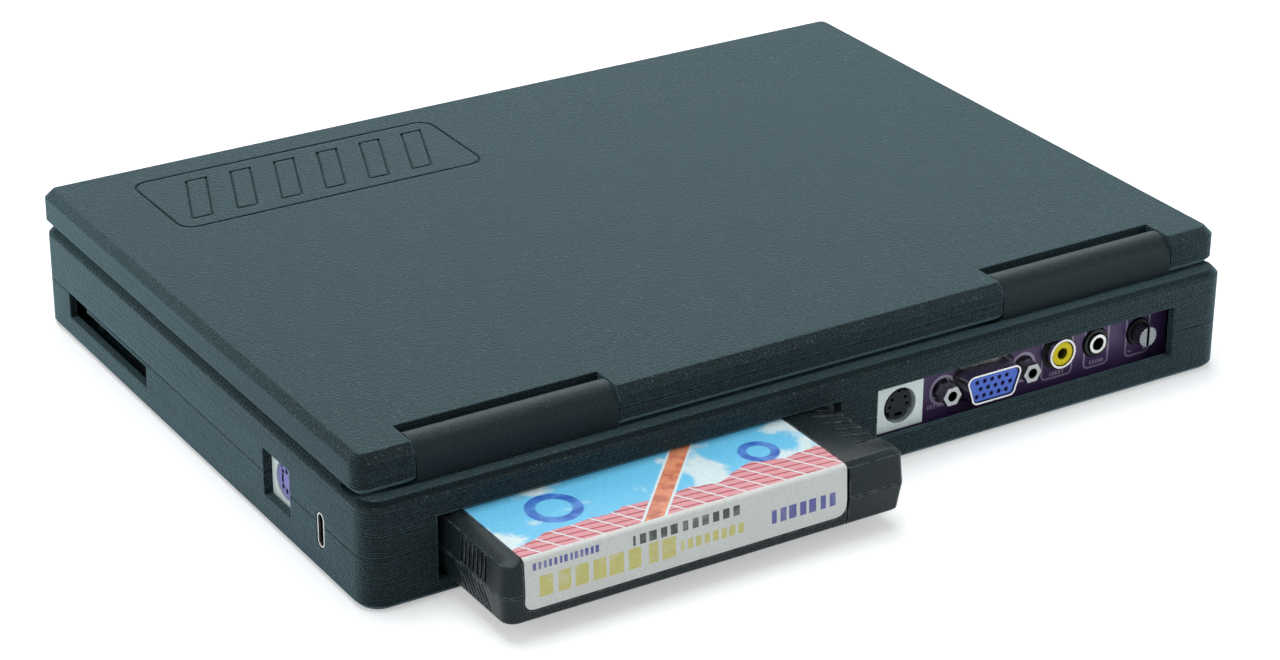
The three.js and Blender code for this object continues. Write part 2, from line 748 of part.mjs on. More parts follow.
function makeHingeBracket(sign) {
  const from = notchInnerX + bracketStart;
  const knuckle = notchInnerX + knuckleStart;
  const footZ = caseTopZ + gap;
  const halfFoot = barrelRadius - coverWall - gap;
  return cut(
    join(
      block(...mirrored(sign, from, from + bracketLength), hingeY - halfFoot, hingeY + halfFoot,
        footZ, footZ + bracketFoot),
      block(...mirrored(sign, knuckle, knuckle + knuckleLength), hingeY - pinRadius, hingeY + pinRadius,
        footZ, hingeZ),
      rod('x', hingeY, hingeZ, knuckleRadius, ...mirrored(sign, knuckle, knuckle + knuckleLength))),
    rod('x', hingeY, hingeZ, pinRadius + gap,
      ...mirrored(sign, knuckle - overrun, knuckle + knuckleLength + overrun)));
}

function makeHingePin(sign) {
  return rod('x', hingeY, hingeZ, pinRadius,
    ...mirrored(sign, notchInnerX - pinLidLength, notchInnerX + knuckleStart + knuckleLength + gap));
}

const armOuterX = notchInnerX - notchSideWall - gap;
const armLeafWidth = armOuterX * armLeafShare;

function makeHingeArm(sign) {
  const outer = armOuterX;
  const leafTop = hingeZ + armEyeRadius - gap;
  return cut(
    join(
      rod('x', hingeY, hingeZ, armEyeRadius, ...mirrored(sign, outer - armEyeLength, outer)),
      block(...mirrored(sign, outer - armLeafWidth, outer), hingeY - armLeafReach, hingeY,
        leafTop - armLeafThickness, leafTop)),
    rod('x', hingeY, hingeZ, pinRadius + gap,
      ...mirrored(sign, outer - armEyeLength - overrun, outer + overrun)),
    block(...mirrored(sign, outer - armLeafWidth - overrun, outer - armEyeLength), hingeY - armEyeRadius,
      hingeY + overrun, hingeZ, lidRoofZ));
}

// Lid

const lidHull = () => ringStack([
  { outline: lidOutline(lidFootChamfer), z: lidFootZ },
  { outline: lidOutline(0), z: lidSideFootZ },
  { outline: lidOutline(0), z: lidSideTopZ },
  { outline: lidOutline(lidTopChamfer), z: lidTopZ },
]);

function notchCut(sign) {
  const ends = mirrored(sign, notchInnerX, notchOuterX);
  const reach = barrelRadius + notchPlay;
  return join(
    rod('x', hingeY, hingeZ, reach, ...ends),
    block(...ends, notchFrontY, lidRear + overrun, hingeZ, lidTopZ + overrun),
    block(...ends, hingeY - reach, lidRear + overrun, lidFootZ - overrun, hingeZ));
}

const lidInnerRear = lidRear - lidWall;
const notchWallY = hingeY - barrelRadius - notchPlay - notchSideWall;

// Engraved outlines: a frame with round corners and a row of slanted bars inside it
function lidEngraving() {
  const x1 = lidRight - frameSideInset;
  const x0 = x1 - frameLength;
  const y0 = lidFront + frameFrontInset;
  const y1 = y0 + frameDepth;
  const footZ = lidTopZ - engravedDepth;
  const topZ = lidTopZ + overrun;
  const frame = (inset) => roundedRect(
    x0 + inset, x1 - inset, y0 + inset, y1 - inset, frameCorner - inset);
  const line = cut(plate(frame(0), footZ, topZ),
    plate(frame(engravedWidth), footZ - overrun, topZ + overrun));
  const barLength = frameDepth - barMargin - barMargin;
  const steep = Math.hypot(barLean, barLength) / barLength;
  const bar = (middle, inset) => {
    const low = y0 + barMargin + inset;
    const high = y1 - barMargin - inset;
    const half = barWidth / 2 - inset * steep;
    const shift = barLean / 2 * (high - low) / barLength;
    const corners = [[-shift - half, low], [half - shift, low], [shift + half, high], [shift - half, high]];
    return corners.map(([x, y]) => new THREE.Vector2(middle + x, y));
  };
  const bars = Array.from({ length: barCount }, (_, i) => {
    const middle = (x0 + x1) / 2 + (i - (barCount - 1) / 2) * barPitch;
    return cut(plate(bar(middle, 0), footZ, topZ),
      plate(bar(middle, engravedWidth), footZ - overrun, topZ + overrun));
  });
  return [line, ...bars];
}

function makeLidCover() {
  const cavity = cut(
    plate(lidOutline(lidWall), lidFootZ - overrun, lidRoofZ),
    ...[1, -1].map((sign) => block(
      ...mirrored(sign, notchInnerX - notchSideWall, notchOuterX + notchSideWall),
      notchWallY, lidRear, lidFootZ - overrun - overrun, lidTopZ)));
  const pads = [];
  const padX = windowWidth / 2;
  const padTop = lidRoofZ + lidRoof / 2;
  const padFoot = lidFootZ + bezelThickness + gap + glassThickness + gap + panelThickness + gap;
  for (let column = 0; column < padColumns; column++) {
    for (const end of [-1, 1]) {
      const x = (column - (padColumns - 1) / 2) * 2 / (padColumns - 1) * (padX - padRadius);
      pads.push(rod('z', x, windowY + end * windowDepth / 2, padRadius, padFoot, padTop, smallSides));
    }
  }
  const leafPads = [1, -1].map((sign) => {
    const x = sign * (armOuterX - armLeafWidth / 2);
    return rod('z', x, hingeY - armLeafReach + padRadius + gap, padRadius,
      hingeZ + armEyeRadius, padTop, smallSides);
  });
  return cut(
    join(cut(lidHull(), cavity), ...pads, ...leafPads),
    notchCut(1), notchCut(-1),
    block(-notchInnerX - overrun, notchInnerX + overrun, lidInnerRear, lidRear + overrun,
      lidFootZ - overrun, lidSeamZ + gap / 2),
    rod('x', hingeY, hingeZ, pinRadius + gap, -notchInnerX - overrun, notchInnerX + overrun),
    ...lidEngraving());
}

function makeLidBezel() {
  const topZ = lidFootZ + bezelThickness;
  const clear = notchSideWall + gap;
  const sheet = cut(
    plate(lidOutline(lidWall + gap), lidFootZ, topZ),
    ...[1, -1].map((sign) => block(
      ...mirrored(sign, notchInnerX - clear, notchOuterX + clear),
      notchWallY - gap, lidRear, lidFootZ - overrun, topZ + overrun)));
  const flange = cut(
    lidHull().intersect(block(-notchInnerX, notchInnerX, lidInnerRear + gap, lidRear + overrun,
      lidFootZ - overrun, lidSeamZ - gap / 2)),
    block(-lidRight, lidRight, lidInnerRear - overrun, lidRear - bezelFlange, topZ, lidTopZ));
  const bridge = block(-notchInnerX + clear, notchInnerX - clear, lidInnerRear - overrun,
    lidRear - lidFootChamfer - gap, lidFootZ, topZ);
  const halfW = windowWidth / 2;
  const halfD = windowDepth / 2;
  return cut(
    join(sheet, bridge, flange),
    block(-halfW, halfW, windowY - halfD, windowY + halfD, lidFootZ - overrun, topZ + overrun),
    ...[1, -1].map((sign) => rod('x', hingeY, hingeZ, armEyeRadius + gap,
      ...mirrored(sign, armOuterX - armEyeLength - gap, armOuterX + gap))));
}

const screenSlab = (margin, z0, z1) => block(
  -windowWidth / 2 - margin, windowWidth / 2 + margin,
  windowY - windowDepth / 2 - margin, windowY + windowDepth / 2 + margin, z0, z1);
const glassFootZ = lidFootZ + bezelThickness + gap;
const screenFootZ = glassFootZ + glassThickness + gap;

// Keyboard

function keyCells() {
  const cells = [];
  keyRows.forEach(({ shares, names }, row) => {
    let x = fieldUnits * keyPitch / 2;
    shares.forEach((share, column) => {
      // Rows run from the rear to the front, and the user's left is at -X.
      const x1 = -x + share * keyPitch;
      const y1 = keyFieldY + keyFieldDepth / 2 - row * keyPitch;
      cells.push({ x0: -x, x1, y0: y1 - keyPitch, y1, name: names[column] });
      x -= share * keyPitch;
    });
  });
  return cells;
}

// A cap that narrows to its top and is dished there
function keyCap(cell, footZ) {
  const half = keyGap / 2;
  const ring = (inset) => mixedRect(cell.x0 + half + inset, cell.x1 - half - inset,
    cell.y0 + half + inset, cell.y1 - half - inset, [0, 0, 0, 0]);
  return ringStack([
    { outline: ring(0), z: footZ },
    { outline: ring(keyDraft), z: keyTopZ },
    { outline: ring(keyDraft * 2), z: keyTopZ - keyDish },
  ]);
}

const stemOutline = (cell, margin) => {
  const x = (cell.x0 + cell.x1) / 2;
  const y = (cell.y0 + cell.y1) / 2;
  const half = stemSize / 2 + margin;
  return [x - half, x + half, y - half, y + half];
};

function makeMovingKey(cell) {
  const stem = block(...stemOutline(cell, 0), keyFootZ - stemLength, keyFootZ + gap);
  return join(keyCap(cell, keyFootZ), stem);
}

function makeKeyPlate(cells) {
  const halfX = fieldUnits * keyPitch / 2 + keyPlateMargin;
  const halfY = keyFieldDepth / 2 + keyPlateMargin;
  const base = plate(roundedRect(-halfX, halfX, keyFieldY - halfY, keyFieldY + halfY, keyPlateMargin, 2),
    keyPlateTopZ - keyPlateThickness, keyPlateTopZ);
  const capFootZ = keyPlateTopZ - keyPlateThickness / 2;
  const fixed = cells.filter((cell) => !cell.name).map((cell) => keyCap(cell, capFootZ));
  const holes = cells.filter((cell) => cell.name).map((cell) => block(
    ...stemOutline(cell, gap), keyPlateTopZ - keyPlateThickness - overrun, keyPlateTopZ + overrun));
  return cut(join(base, ...fixed), ...holes);
}

function makePowerButton() {
  return join(
    rod('z', buttonX, buttonY, buttonRadius, buttonFootZ, buttonTopZ),
    rod('z', buttonX, buttonY, buttonStemRadius, buttonFootZ - buttonStemLength, buttonTopZ - gap,
      smallSides));
}

// Boards

const boardLeft = -wallInnerX + boardMargin;
const boardRight = wallInnerX - boardMargin;
const boardRear = wallInnerY - boardMargin;
const boardFootZ = boardTopZ - boardThickness;
const standoffPlaces = [
  [boardLeft + pillarInset, boardFrontY + pillarRadius + gap], [0, boardFrontY + pillarRadius + gap],
  [boardRight - pillarInset, boardFrontY + pillarRadius + gap],
  [boardLeft + pillarInset, keyFieldY], [boardRight - pillarInset, keyFieldY],
];

const panelRight = videoX - dinSize / 2 - panelPlay;
const panelLeft = bayLeft - panelLap;
const panelBackY = panelFrontY - panelThick;
const panelFootZ = caseFloor + gap;

function makeMainBoard() {
  const sheet = block(boardLeft, boardRight, boardFrontY, boardRear, boardFootZ, boardTopZ);
  const chipY = (boardFrontY + guideFrontY - socketBody) / 2;
  const chips = [videoX, vgaX, slotX].map((x) => block(x - chipSize / 2, x + chipSize / 2,
    chipY - chipSize / 2, chipY + chipSize / 2, boardTopZ - boardThickness / 2, boardTopZ + chipHeight));
  const pillarRoom = pillarPlaces.map(([x, y]) => rod(
    'z', x, y, pillarRadius + gap, boardFootZ - overrun, boardTopZ + overrun, smallSides));
  return cut(
    join(sheet, ...chips),
    block(slotLeft - guideWall - gap, slotRight + guideWall + gap, guideFrontY - gap,
      boardRear + overrun, boardFootZ - overrun, boardTopZ + overrun),
    block(panelLeft - gap, panelRight + gap, panelBackY - gap, boardRear + overrun,
      boardFootZ - overrun, boardTopZ + overrun),
    ...pillarRoom);
}

function dShape(inset) {
  const top = vgaHalfTop - inset;
  const foot = vgaHalfFoot - inset;
  const high = vgaHalfHeight - inset;
  const r = Math.max(vgaCorner - inset, leastRadius);
  const at = [[top, high], [-top, high], [-foot, -high], [foot, -high]];
  const points = [];
  at.forEach(([x, z], quarter) => {
    const cx = x - Math.sign(x) * r;
    const cz = z - Math.sign(z) * r;
    for (let i = 0; i <= cornerSteps; i++) {
      const a = (quarter + i / cornerSteps) * Math.PI / 2;
      points.push(new THREE.Vector2(vgaX + cx + r * Math.cos(a), vgaZ + cz + r * Math.sin(a)));
    }
  });
  return points;
}

const studPlaces = [vgaX + studSpacing / 2, vgaX - studSpacing / 2];

function makeIoPanel() {
  const through = [panelBackY - overrun, panelFrontY + overrun];
  return cut(
    block(panelLeft, panelRight, panelBackY, panelFrontY, panelFootZ, panelTopZ),
    drawn('y', dShape(-vgaWindowMargin), ...through),
    ...studPlaces.map((x) => rod('y', x, vgaZ, studWindowRadius, ...through)),
    rod('y', rcaX, rcaZ, rcaBarrelRadius + gap, ...through),
    rod('y', audioX, audioZ, audioNoseRadius + gap, ...through),
    rod('y', volumeX, volumeZ, volumeBushRadius + gap, ...through));
}

// Round multi-pin sockets: the pins' and the rim notches' places as angles from straight up
const videoPinTurns = [-96, -50, 50, 96];
const sidePinTurns = [-130, -85, -40, 40, 85, 130];
const rimNotchTurns = [-124, 0, 124];

function dinHousing(axis, along, face, footZ) {
  const half = dinSize / 2;
  const back = face - dinDepth;
  const body = axis === 'y'
    ? block(along - half, along + half, back, face, footZ, footZ + dinHeight)
    : block(back, face, along - half, along + half, footZ, footZ + dinHeight);
  const boreBack = face - dinInsertDepth - gap - gap;
  return cut(body, rod(axis, along, footZ + dinCentre, dinRadius, boreBack, face + overrun));
}

function dinInsert(axis, along, face, footZ, pinTurns) {
  const z = footZ + dinCentre;
  const front = face - dinInsertDrop;
  const back = face - dinInsertDepth - gap;
  const hole = (degrees, ring, radius) => {
    const a = degrees * Math.PI / 180;
    return rod(axis, along + ring * Math.sin(a), z + ring * Math.cos(a), radius,
      front - dinInsertDepth / 2, front + overrun, pinSides);
  };
  const pins = pinTurns.map((degrees) => hole(degrees, dinPinRing, dinPinRadius));
  const notches = rimNotchTurns.map((degrees) => hole(degrees, dinBossRadius, dinNotchRadius));
  const keyFoot = z - dinPinRing - dinKeyHeight / 2;
  const keyBox = axis === 'y'
    ? block(along - dinKeyWidth / 2, along + dinKeyWidth / 2, front - dinInsertDepth / 2, front + overrun,
      keyFoot, keyFoot + dinKeyHeight)
    : block(front - dinInsertDepth / 2, front + overrun, along - dinKeyWidth / 2, along + dinKeyWidth / 2,
      keyFoot, keyFoot + dinKeyHeight);
  const foot = rod(axis, along, z, dinInsertRadius, back, front - dinGrooveDepth);
  const boss = rod(axis, along, z, dinBossRadius, back, front);
  return cut(join(foot, boss), keyBox, ...pins, ...notches);
}

// Fifteen-pin connector

const flangeFrontY = panelBackY - gap;
const flangeBackY = flangeFrontY - vgaFlangeThickness;

function makeVgaShell() {
  const half = vgaFlangeWidth / 2;
  const flange = block(vgaX - half, vgaX + half, flangeBackY, flangeFrontY,
    boardTopZ + gap, vgaZ + vgaFlangeHeight / 2);
  return cut(
    join(flange, drawn('y', dShape(0), flangeBackY, vgaFrontY)),
    drawn('y', dShape(vgaSheet), flangeBackY - overrun, vgaFrontY + overrun),
    ...studPlaces.map((x) => rod('y', x, vgaZ, studBore + gap, flangeBackY - overrun, flangeFrontY + overrun,
      smallSides)));
}

function makeVgaInsert() {
  const front = vgaFrontY - vgaInsertDrop;
  const pins = [];
  for (let row = 0; row < vgaRows; row++) {
    for (let i = 0; i < vgaColumns; i++) {
      const shift = row % 2 ? -vgaPinPitchX / 4 : vgaPinPitchX / 4;
      const x = vgaX + (i - (vgaColumns - 1) / 2) * vgaPinPitchX + shift;
      const z = vgaZ + ((vgaRows - 1) / 2 - row) * vgaPinPitchZ;
      pins.push(rod('y', x, z, vgaPinRadius, front - vgaPinDepth, front + overrun, pinSides));
    }
  }
  const half = vgaFlangeWidth / 2;
  const body = block(vgaX - half + gap, vgaX + half - gap, flangeBackY - rcaBodyDepth, flangeBackY - gap,
    boardTopZ + gap, vgaZ + vgaFlangeHeight / 2 - gap);
  return cut(join(drawn('y', dShape(vgaSheet + gap), flangeBackY - overrun, front), body), ...pins);
}

function makeStud(x) {
  const corner = studFlats / Math.sqrt(3);
  return cut(
    drawn('y', circle(x, vgaZ, corner, 6), flangeFrontY + gap, studFrontY),
    rod('y', x, vgaZ, studBore, studFrontY - studBoreDepth, studFrontY + overrun, smallSides));
}

// Jacks and the volume control: a body on the board behind the purple panel, a round nose through it

const bodyFrontY = panelBackY - gap;

const jackBody = (x, width, depth, topZ) => block(
  x - width / 2, x + width / 2, bodyFrontY - depth, bodyFrontY, boardTopZ + gap, topZ);

function makeRcaBody() {
  return cut(
    join(jackBody(rcaX, rcaBody, rcaBodyDepth, rcaZ + rcaBody / 2),
      rod('y', rcaX, rcaZ, rcaBarrelRadius, bodyFrontY - overrun, rcaFrontY - rcaRingProud),
      rod('y', rcaX, rcaZ, rcaFootRadius, panelFrontY + gap, panelFrontY + gap + rcaFootHeight)),
    rod('y', rcaX, rcaZ, rcaStemRadius + gap, bodyFrontY - rcaInsertDepth / 2, rcaFrontY + overrun));
}

function makeRcaRing() {
  const back = bodyFrontY - rcaInsertDepth / 2 + gap;
  return cut(
    join(
      rod('y', rcaX, rcaZ, rcaStemRadius, back, rcaFrontY - gap),
      rod('y', rcaX, rcaZ, rcaRingRadius, rcaFrontY - rcaRingProud + gap, rcaFrontY)),
    rod('y', rcaX, rcaZ, rcaRingRadius - rcaRingWall, back - overrun, rcaFrontY + overrun));
}

function makeRcaInsert() {
  const front = rcaFrontY - rcaInsertDrop;
  return cut(
    rod('y', rcaX, rcaZ, rcaRingRadius - rcaRingWall - gap, bodyFrontY - rcaInsertDepth / 2 + gap, front),
    rod('y', rcaX, rcaZ, rcaInsertBore, front - rcaInsertDepth / 2, front + overrun, smallSides));
}

function makeAudioBody() {
  return cut(
    join(jackBody(audioX, audioBodyWidth, audioBodyDepth, audioZ + audioNoseRadius),
      rod('y', audioX, audioZ, audioNoseRadius, bodyFrontY - overrun, audioNoseFrontY)),
    rod('y', audioX, audioZ, audioRingRadius + gap, bodyFrontY - audioBodyDepth / 2, audioFrontY + overrun));
}

function makeAudioRing() {
  const back = bodyFrontY - audioBodyDepth / 2 + gap;
  return cut(
    rod('y', audioX, audioZ, audioRingRadius, back, audioFrontY),
    rod('y', audioX, audioZ, audioBore, back + audioBore, audioFrontY + overrun, smallSides));
}

function makeVolumeBody() {
  return cut(
    join(jackBody(volumeX, volumeBodyWidth, volumeBodyDepth, volumeZ + volumeBushRadius + gap),
      rod('y', volumeX, volumeZ, volumeBushRadius, bodyFrontY - overrun, volumeBushFrontY)),
    rod('y', volumeX, volumeZ, volumeShaftCore + gap, bodyFrontY - volumeBodyDepth / 2,
      volumeBushFrontY + overrun));
}

// The shaft: a knurled end, split for a push-on knob, and a thinner core in the bush
function makeVolumeShaft() {
  const knurl = [];
  for (let i = 0; i < volumeTeeth * 2; i++) {
    const a = i / volumeTeeth * Math.PI;
    const r = volumeShaftRadius - (i % 2) * volumeToothDepth;
    knurl.push(new THREE.Vector2(volumeX + r * Math.cos(a), volumeZ + r * Math.sin(a)));
  }
  const headBack = volumeBushFrontY + gap;
  return cut(
    join(drawn('y', knurl, headBack, volumeShaftFrontY),
      rod('y', volumeX, volumeZ, volumeShaftCore, bodyFrontY - volumeBodyDepth / 2 + gap, headBack + gap)),
    block(volumeX - volumeSplit / 2, volumeX + volumeSplit / 2, headBack + gap, volumeShaftFrontY + overrun,
      volumeZ - volumeShaftRadius - overrun, volumeZ + volumeShaftRadius + overrun));
}

// Power and data port

function makePortShell() {
  const back = caseRight - portDepth;
  return cut(
    drawn('x', stadium(portY, portZ, portWidth, portLength), back, caseRight),
    drawn('x', stadium(portY, portZ, portWidth, portLength, portSheet),
      back + portSheet, caseRight + overrun));
}

function makePortTongue() {
  return block(caseRight - portDepth + portSheet + gap, caseRight - portTongueDrop,
    portY - portTongue / 2, portY + portTongue / 2,
    portZ - portTongueLength / 2, portZ + portTongueLength / 2);
}

function makeCardSocket() {
  const y = cardFrontY + cardLength / 2;
  const half = cardLength / 2 - cardSocketMargin;
  const midZ = cardSocketZ + cardSocketHeight / 2;
  return cut(
    block(cardSocketX - cardSocketDepth, cardSocketX, y - half, y + half,
      cardSocketZ, cardSocketZ + cardSocketHeight),
    block(cardSocketX - cardSlitDepth, cardSocketX + overrun, y - cardSlitWidth / 2, y + cardSlitWidth / 2,
      midZ - cardSlitHeight / 2, midZ + cardSlitHeight / 2));
}

// Battery and speaker

const batteryFootZ = caseFloor + gap;

function makeBattery() {
  const front = -caseRear + batteryFrontInset;
  const outline = (inset) => roundedRect(
    -caseRight + batteryLeftInset + inset, caseRight - batteryRightInset - inset,
    front + inset, front + batteryDepth - inset, batteryCorner - inset, 3);
  const soft = batteryCorner / 3;
  return ringStack([
    { outline: outline(soft), z: batteryFootZ },
    { outline: outline(0), z: batteryFootZ + soft },
    { outline: outline(0), z: batteryFootZ + batteryHeight - soft },
    { outline: outline(soft), z: batteryFootZ + batteryHeight },
  ]);
}

function makeSpeaker() {
  const topZ = batteryFootZ + speakerHeight;
  const frame = plate(roundedRect(speakerX - speakerWidth / 2, speakerX + speakerWidth / 2,
    speakerY - speakerLength / 2, speakerY + speakerLength / 2, speakerConeDepth * 2, 3), batteryFootZ, topZ);
  const profile = [[0, 0], [speakerConeRadius / 2, 0], [speakerConeRadius, speakerConeDepth],
    [speakerConeRadius, speakerConeDepth + overrun], [0, speakerConeDepth + overrun]];
  const cone = new THREE.LatheGeometry(profile.map(([r, z]) => new THREE.Vector2(r, z)), roundSides);
  cone.rotateX(Math.PI / 2);
  cone.translate(speakerX, speakerY, topZ - speakerConeDepth);
  return cut(frame, solid(cone));
}

// Cartridge

const cartLeftX = slotRight - cartridgeLeftPlay; // the left end, seen from the rear
const cartRightX = slotLeft + cartridgeRightPlay;
const mouthWidth = cartLeftX - cartRightX - 2 * mouthSideInset;
const cartFootZ = slotFootZ + cartridgePlay;
const cartTopZ = slotTopZ - cartridgePlay;
const cartBoardZ = cartridgeSeamZ - cartridgeBoard / 2;
const labelX0 = cartRightX + cartridgeRightBlock;
const labelX1 = cartLeftX - cartridgeLeftBlock;
const labelFrontY = cartFrontY + labelFrontMargin;

// Rear corners are round, front corners are square.
const cartOutline = (inset) => mixedRect(
  cartRightX + inset, cartLeftX - inset, cartFrontY, cartridgeRear - inset,
  [cartridgeLeftCorner, cartridgeRightCorner, 0, 0]);

// The rear face leans in from the seam, both up and down.
const bevelFootZ = cartTopZ - cartridgeBevelHeight;
function rearFaceY(z) {
  const lean = z > cartridgeSeamZ
    ? cartridgeDraft * (z - cartridgeSeamZ) / (bevelFootZ - cartridgeSeamZ)
    : cartridgeTaper * (cartridgeSeamZ - z) / (cartridgeSeamZ - cartFootZ);
  return cartridgeRear - lean;
}

// The label's side view, from its front edge over the bevel and down the spine
function labelProfile(inset, frontY, footZ) {
  const bevelY = rearFaceY(bevelFootZ) - cartridgeBevel;
  const arc = Array.from({ length: cornerSteps + 1 }, (_, i) => {
    const a = i / cornerSteps * Math.PI / 2;
    return new THREE.Vector2(bevelY - inset + cartridgeBevel * Math.cos(a),
      bevelFootZ - inset + cartridgeBevelHeight * Math.sin(a));
  });
  return [
    new THREE.Vector2(rearFaceY(footZ) - inset, footZ),
    new THREE.Vector2(cartridgeRear - inset, cartridgeSeamZ),
    ...arc, new THREE.Vector2(frontY, cartTopZ - inset),
  ];
}

// The label's face seen from the rear: its lower corners are round.
function labelFace(margin) {
  const corner = labelCorner + margin;
  const face = mixedRect(labelX0 - margin, labelX1 + margin,
    labelFootZ - margin, cartTopZ + overrun + overrun, [0, 0, corner, corner]);
  return drawn('y', face, cartFrontY, cartridgeRear + overrun + overrun);
}

// The room for the label: everything outside its inner face, within its width
function labelRoom() {
  const outside = cartridgeRear + overrun;
  const above = cartTopZ + overrun;
  const inner = labelProfile(labelRecess, labelFrontY - gap, labelFootZ - gap);
  const outline = [...inner, new THREE.Vector2(labelFrontY - gap, above),
    new THREE.Vector2(outside, above), new THREE.Vector2(outside, labelFootZ - gap)];
  return drawn('x', outline, labelX0 - gap, labelX1 + gap).intersect(labelFace(gap));
}

function makeLabel() {
  const outer = labelProfile(labelRecess - gap - labelThickness, labelFrontY, labelFootZ);
  const inner = labelProfile(labelRecess - gap, labelFrontY, labelFootZ);
  return drawn('x', [...outer, ...inner.reverse()], labelX0, labelX1).intersect(labelFace(0));
}

// Fine grooves in the left end: upright above the seam, leaning below it
function gripCuts(upper) {
  const cuts = [];
  const face = cartLeftX - gripDepth - gap;
  for (let i = 0; i < gripCount; i++) {
    const y = cartridgeRear - gripRearInset - i * gripPitch;
    const z0 = upper ? cartridgeSeamZ + gripEndInset : cartFootZ + cartridgeFootBevel + gripEndInset;
    const z1 = upper ? bevelFootZ - gripEndInset : cartridgeSeamZ - gripEndInset;
    const lean = upper ? 0 : gripLean / 2;
    const side = [
      new THREE.Vector2(y - gripWidth / 2 + lean, z0), new THREE.Vector2(y + gripWidth / 2 + lean, z0),
      new THREE.Vector2(y + gripWidth / 2 - lean, z1), new THREE.Vector2(y - gripWidth / 2 - lean, z1),
    ];
    cuts.push(drawn('x', side, face, cartLeftX + overrun));
  }
  return cuts;
}

// Coarse grooves across the right end of the top: floors and ridges slope down to the side.
function topGrooves() {
  const wedge = (drop) => [
    new THREE.Vector2(cartRightX, cartTopZ - drop),
    new THREE.Vector2(cartRightX + grooveReach, cartTopZ),
    new THREE.Vector2(cartRightX + grooveReach, cartTopZ + overrun),
    new THREE.Vector2(cartRightX - overrun, cartTopZ + overrun),
    new THREE.Vector2(cartRightX - overrun, cartTopZ - drop),
  ];
  const half = grooveWidth / 2;
  const places = Array.from({ length: grooveCount },
    (_, i) => cartridgeRear - grooveRearInset - i * groovePitch);
  const grooves = places.map((y) => drawn('y', wedge(grooveDrop), y - half, y + half));
  return [drawn('y', wedge(ridgeDrop), places[grooveCount - 1] - half, places[0] + half), ...grooves];
}

// The line beside the label runs on down the rear face.
const labelLine = () => block(
  labelX0 - gap - labelLineWidth, labelX0 - gap,
  cartridgeRear - cartridgeTaper - labelLineDepth, cartridgeRear + overrun,
  cartFootZ - overrun, bevelFootZ);

function cartridgeHollow() {
  const middle = slotX;
  const inner = block(cartRightX + cartridgeWall + cartridgeTaper, cartLeftX - cartridgeWall - cartridgeTaper,
    cartFrontY + mouthDepth, cartridgeRear - cartridgeWall - labelRecess - gap,
    cartFootZ + cartridgeWall, cartTopZ - cartridgeWall - labelRecess);
  const mouth = block(middle - mouthWidth / 2, middle + mouthWidth / 2, cartFrontY - overrun,
    cartFrontY + mouthDepth + overrun, cartridgeSeamZ - mouthHeight / 2, cartridgeSeamZ + mouthHeight / 2);
  return [inner, mouth];
}

function makeCartridgeTop() {
  const hull = ringStack([
    { outline: cartOutline(0), z: cartridgeSeamZ + gap / 2 },
    { outline: cartOutline(cartridgeDraft), z: bevelFootZ },
    { outline: cartOutline(cartridgeDraft + cartridgeBevel), z: cartTopZ },
  ]);
  return cut(hull, ...cartridgeHollow(), labelRoom(), labelLine(), ...gripCuts(true), ...topGrooves());
}

function makeCartridgeBottom() {
  const hull = ringStack([
    { outline: cartOutline(cartridgeTaper + cartridgeFootBevel), z: cartFootZ },
    { outline: cartOutline(cartridgeTaper), z: cartFootZ + cartridgeFootBevel },
    { outline: cartOutline(0), z: cartridgeSeamZ - gap / 2 },
  ]);
  const postZ = cartBoardZ - gap;
  const postY = cartridgeRear - cartridgeLength / 3;
  const posts = [-1, 1].map((end) => rod('z', slotX + end * mouthWidth / 2, postY,
    pillarRadius, cartFootZ + cartridgeWall / 2, postZ, smallSides));
  return join(cut(hull, ...cartridgeHollow(), labelRoom(), labelLine(), ...gripCuts(false)), ...posts);
}

function makeCartridgeBoard() {
  const half = mouthWidth / 2;
  const finger = half - socketNoseWall - socketNoseWall;
  const broad = half + pillarRadius;
  const shoulder = cartFrontY + mouthDepth + gap;
  const outline = [[finger, cartFrontY + gap], [finger, shoulder], [broad, shoulder],
    [broad, cartridgeRear - cartridgeLength / 4], [-broad, cartridgeRear - cartridgeLength / 4],
    [-broad, shoulder], [-finger, shoulder], [-finger, cartFrontY + gap]];
  const places = outline.map(([x, y]) => new THREE.Vector2(slotX + x, y));
  return plate(places, cartBoardZ, cartBoardZ + cartridgeBoard);
}

// Edge socket: a body on the main board with a nose that the cartridge's mouth goes over
function makeCartridgeSocket() {
  const noseHalf = mouthWidth / 2 - socketNoseWall / 2;
  const noseHigh = mouthHeight / 2 - gap - gap;
  const faceY = cartFrontY - gap;
  const bodyHalf = mouthWidth / 2 + socketEnd;
  return cut(
    join(
      block(slotX - bodyHalf, slotX + bodyHalf, guideFrontY - gap - socketBody, guideFrontY - gap,
        boardTopZ + gap, boardTopZ + gap + socketHeight),
      block(slotX - noseHalf, slotX + noseHalf, guideFrontY - gap - overrun, faceY + socketNose,
        cartridgeSeamZ - noseHigh, cartridgeSeamZ + noseHigh)),
    block(slotX - noseHalf + socketNoseWall, slotX + noseHalf - socketNoseWall, faceY - socketBody / 2,
      faceY + socketNose + overrun, cartridgeSeamZ - socketSlit / 2, cartridgeSeamZ + socketSlit / 2));
}

// Assembly

const laptop = new THREE.Group();
const base = new THREE.Group();
const lid = new THREE.Group();
const cartridge = new THREE.Group();
laptop.add(base, lid, cartridge);

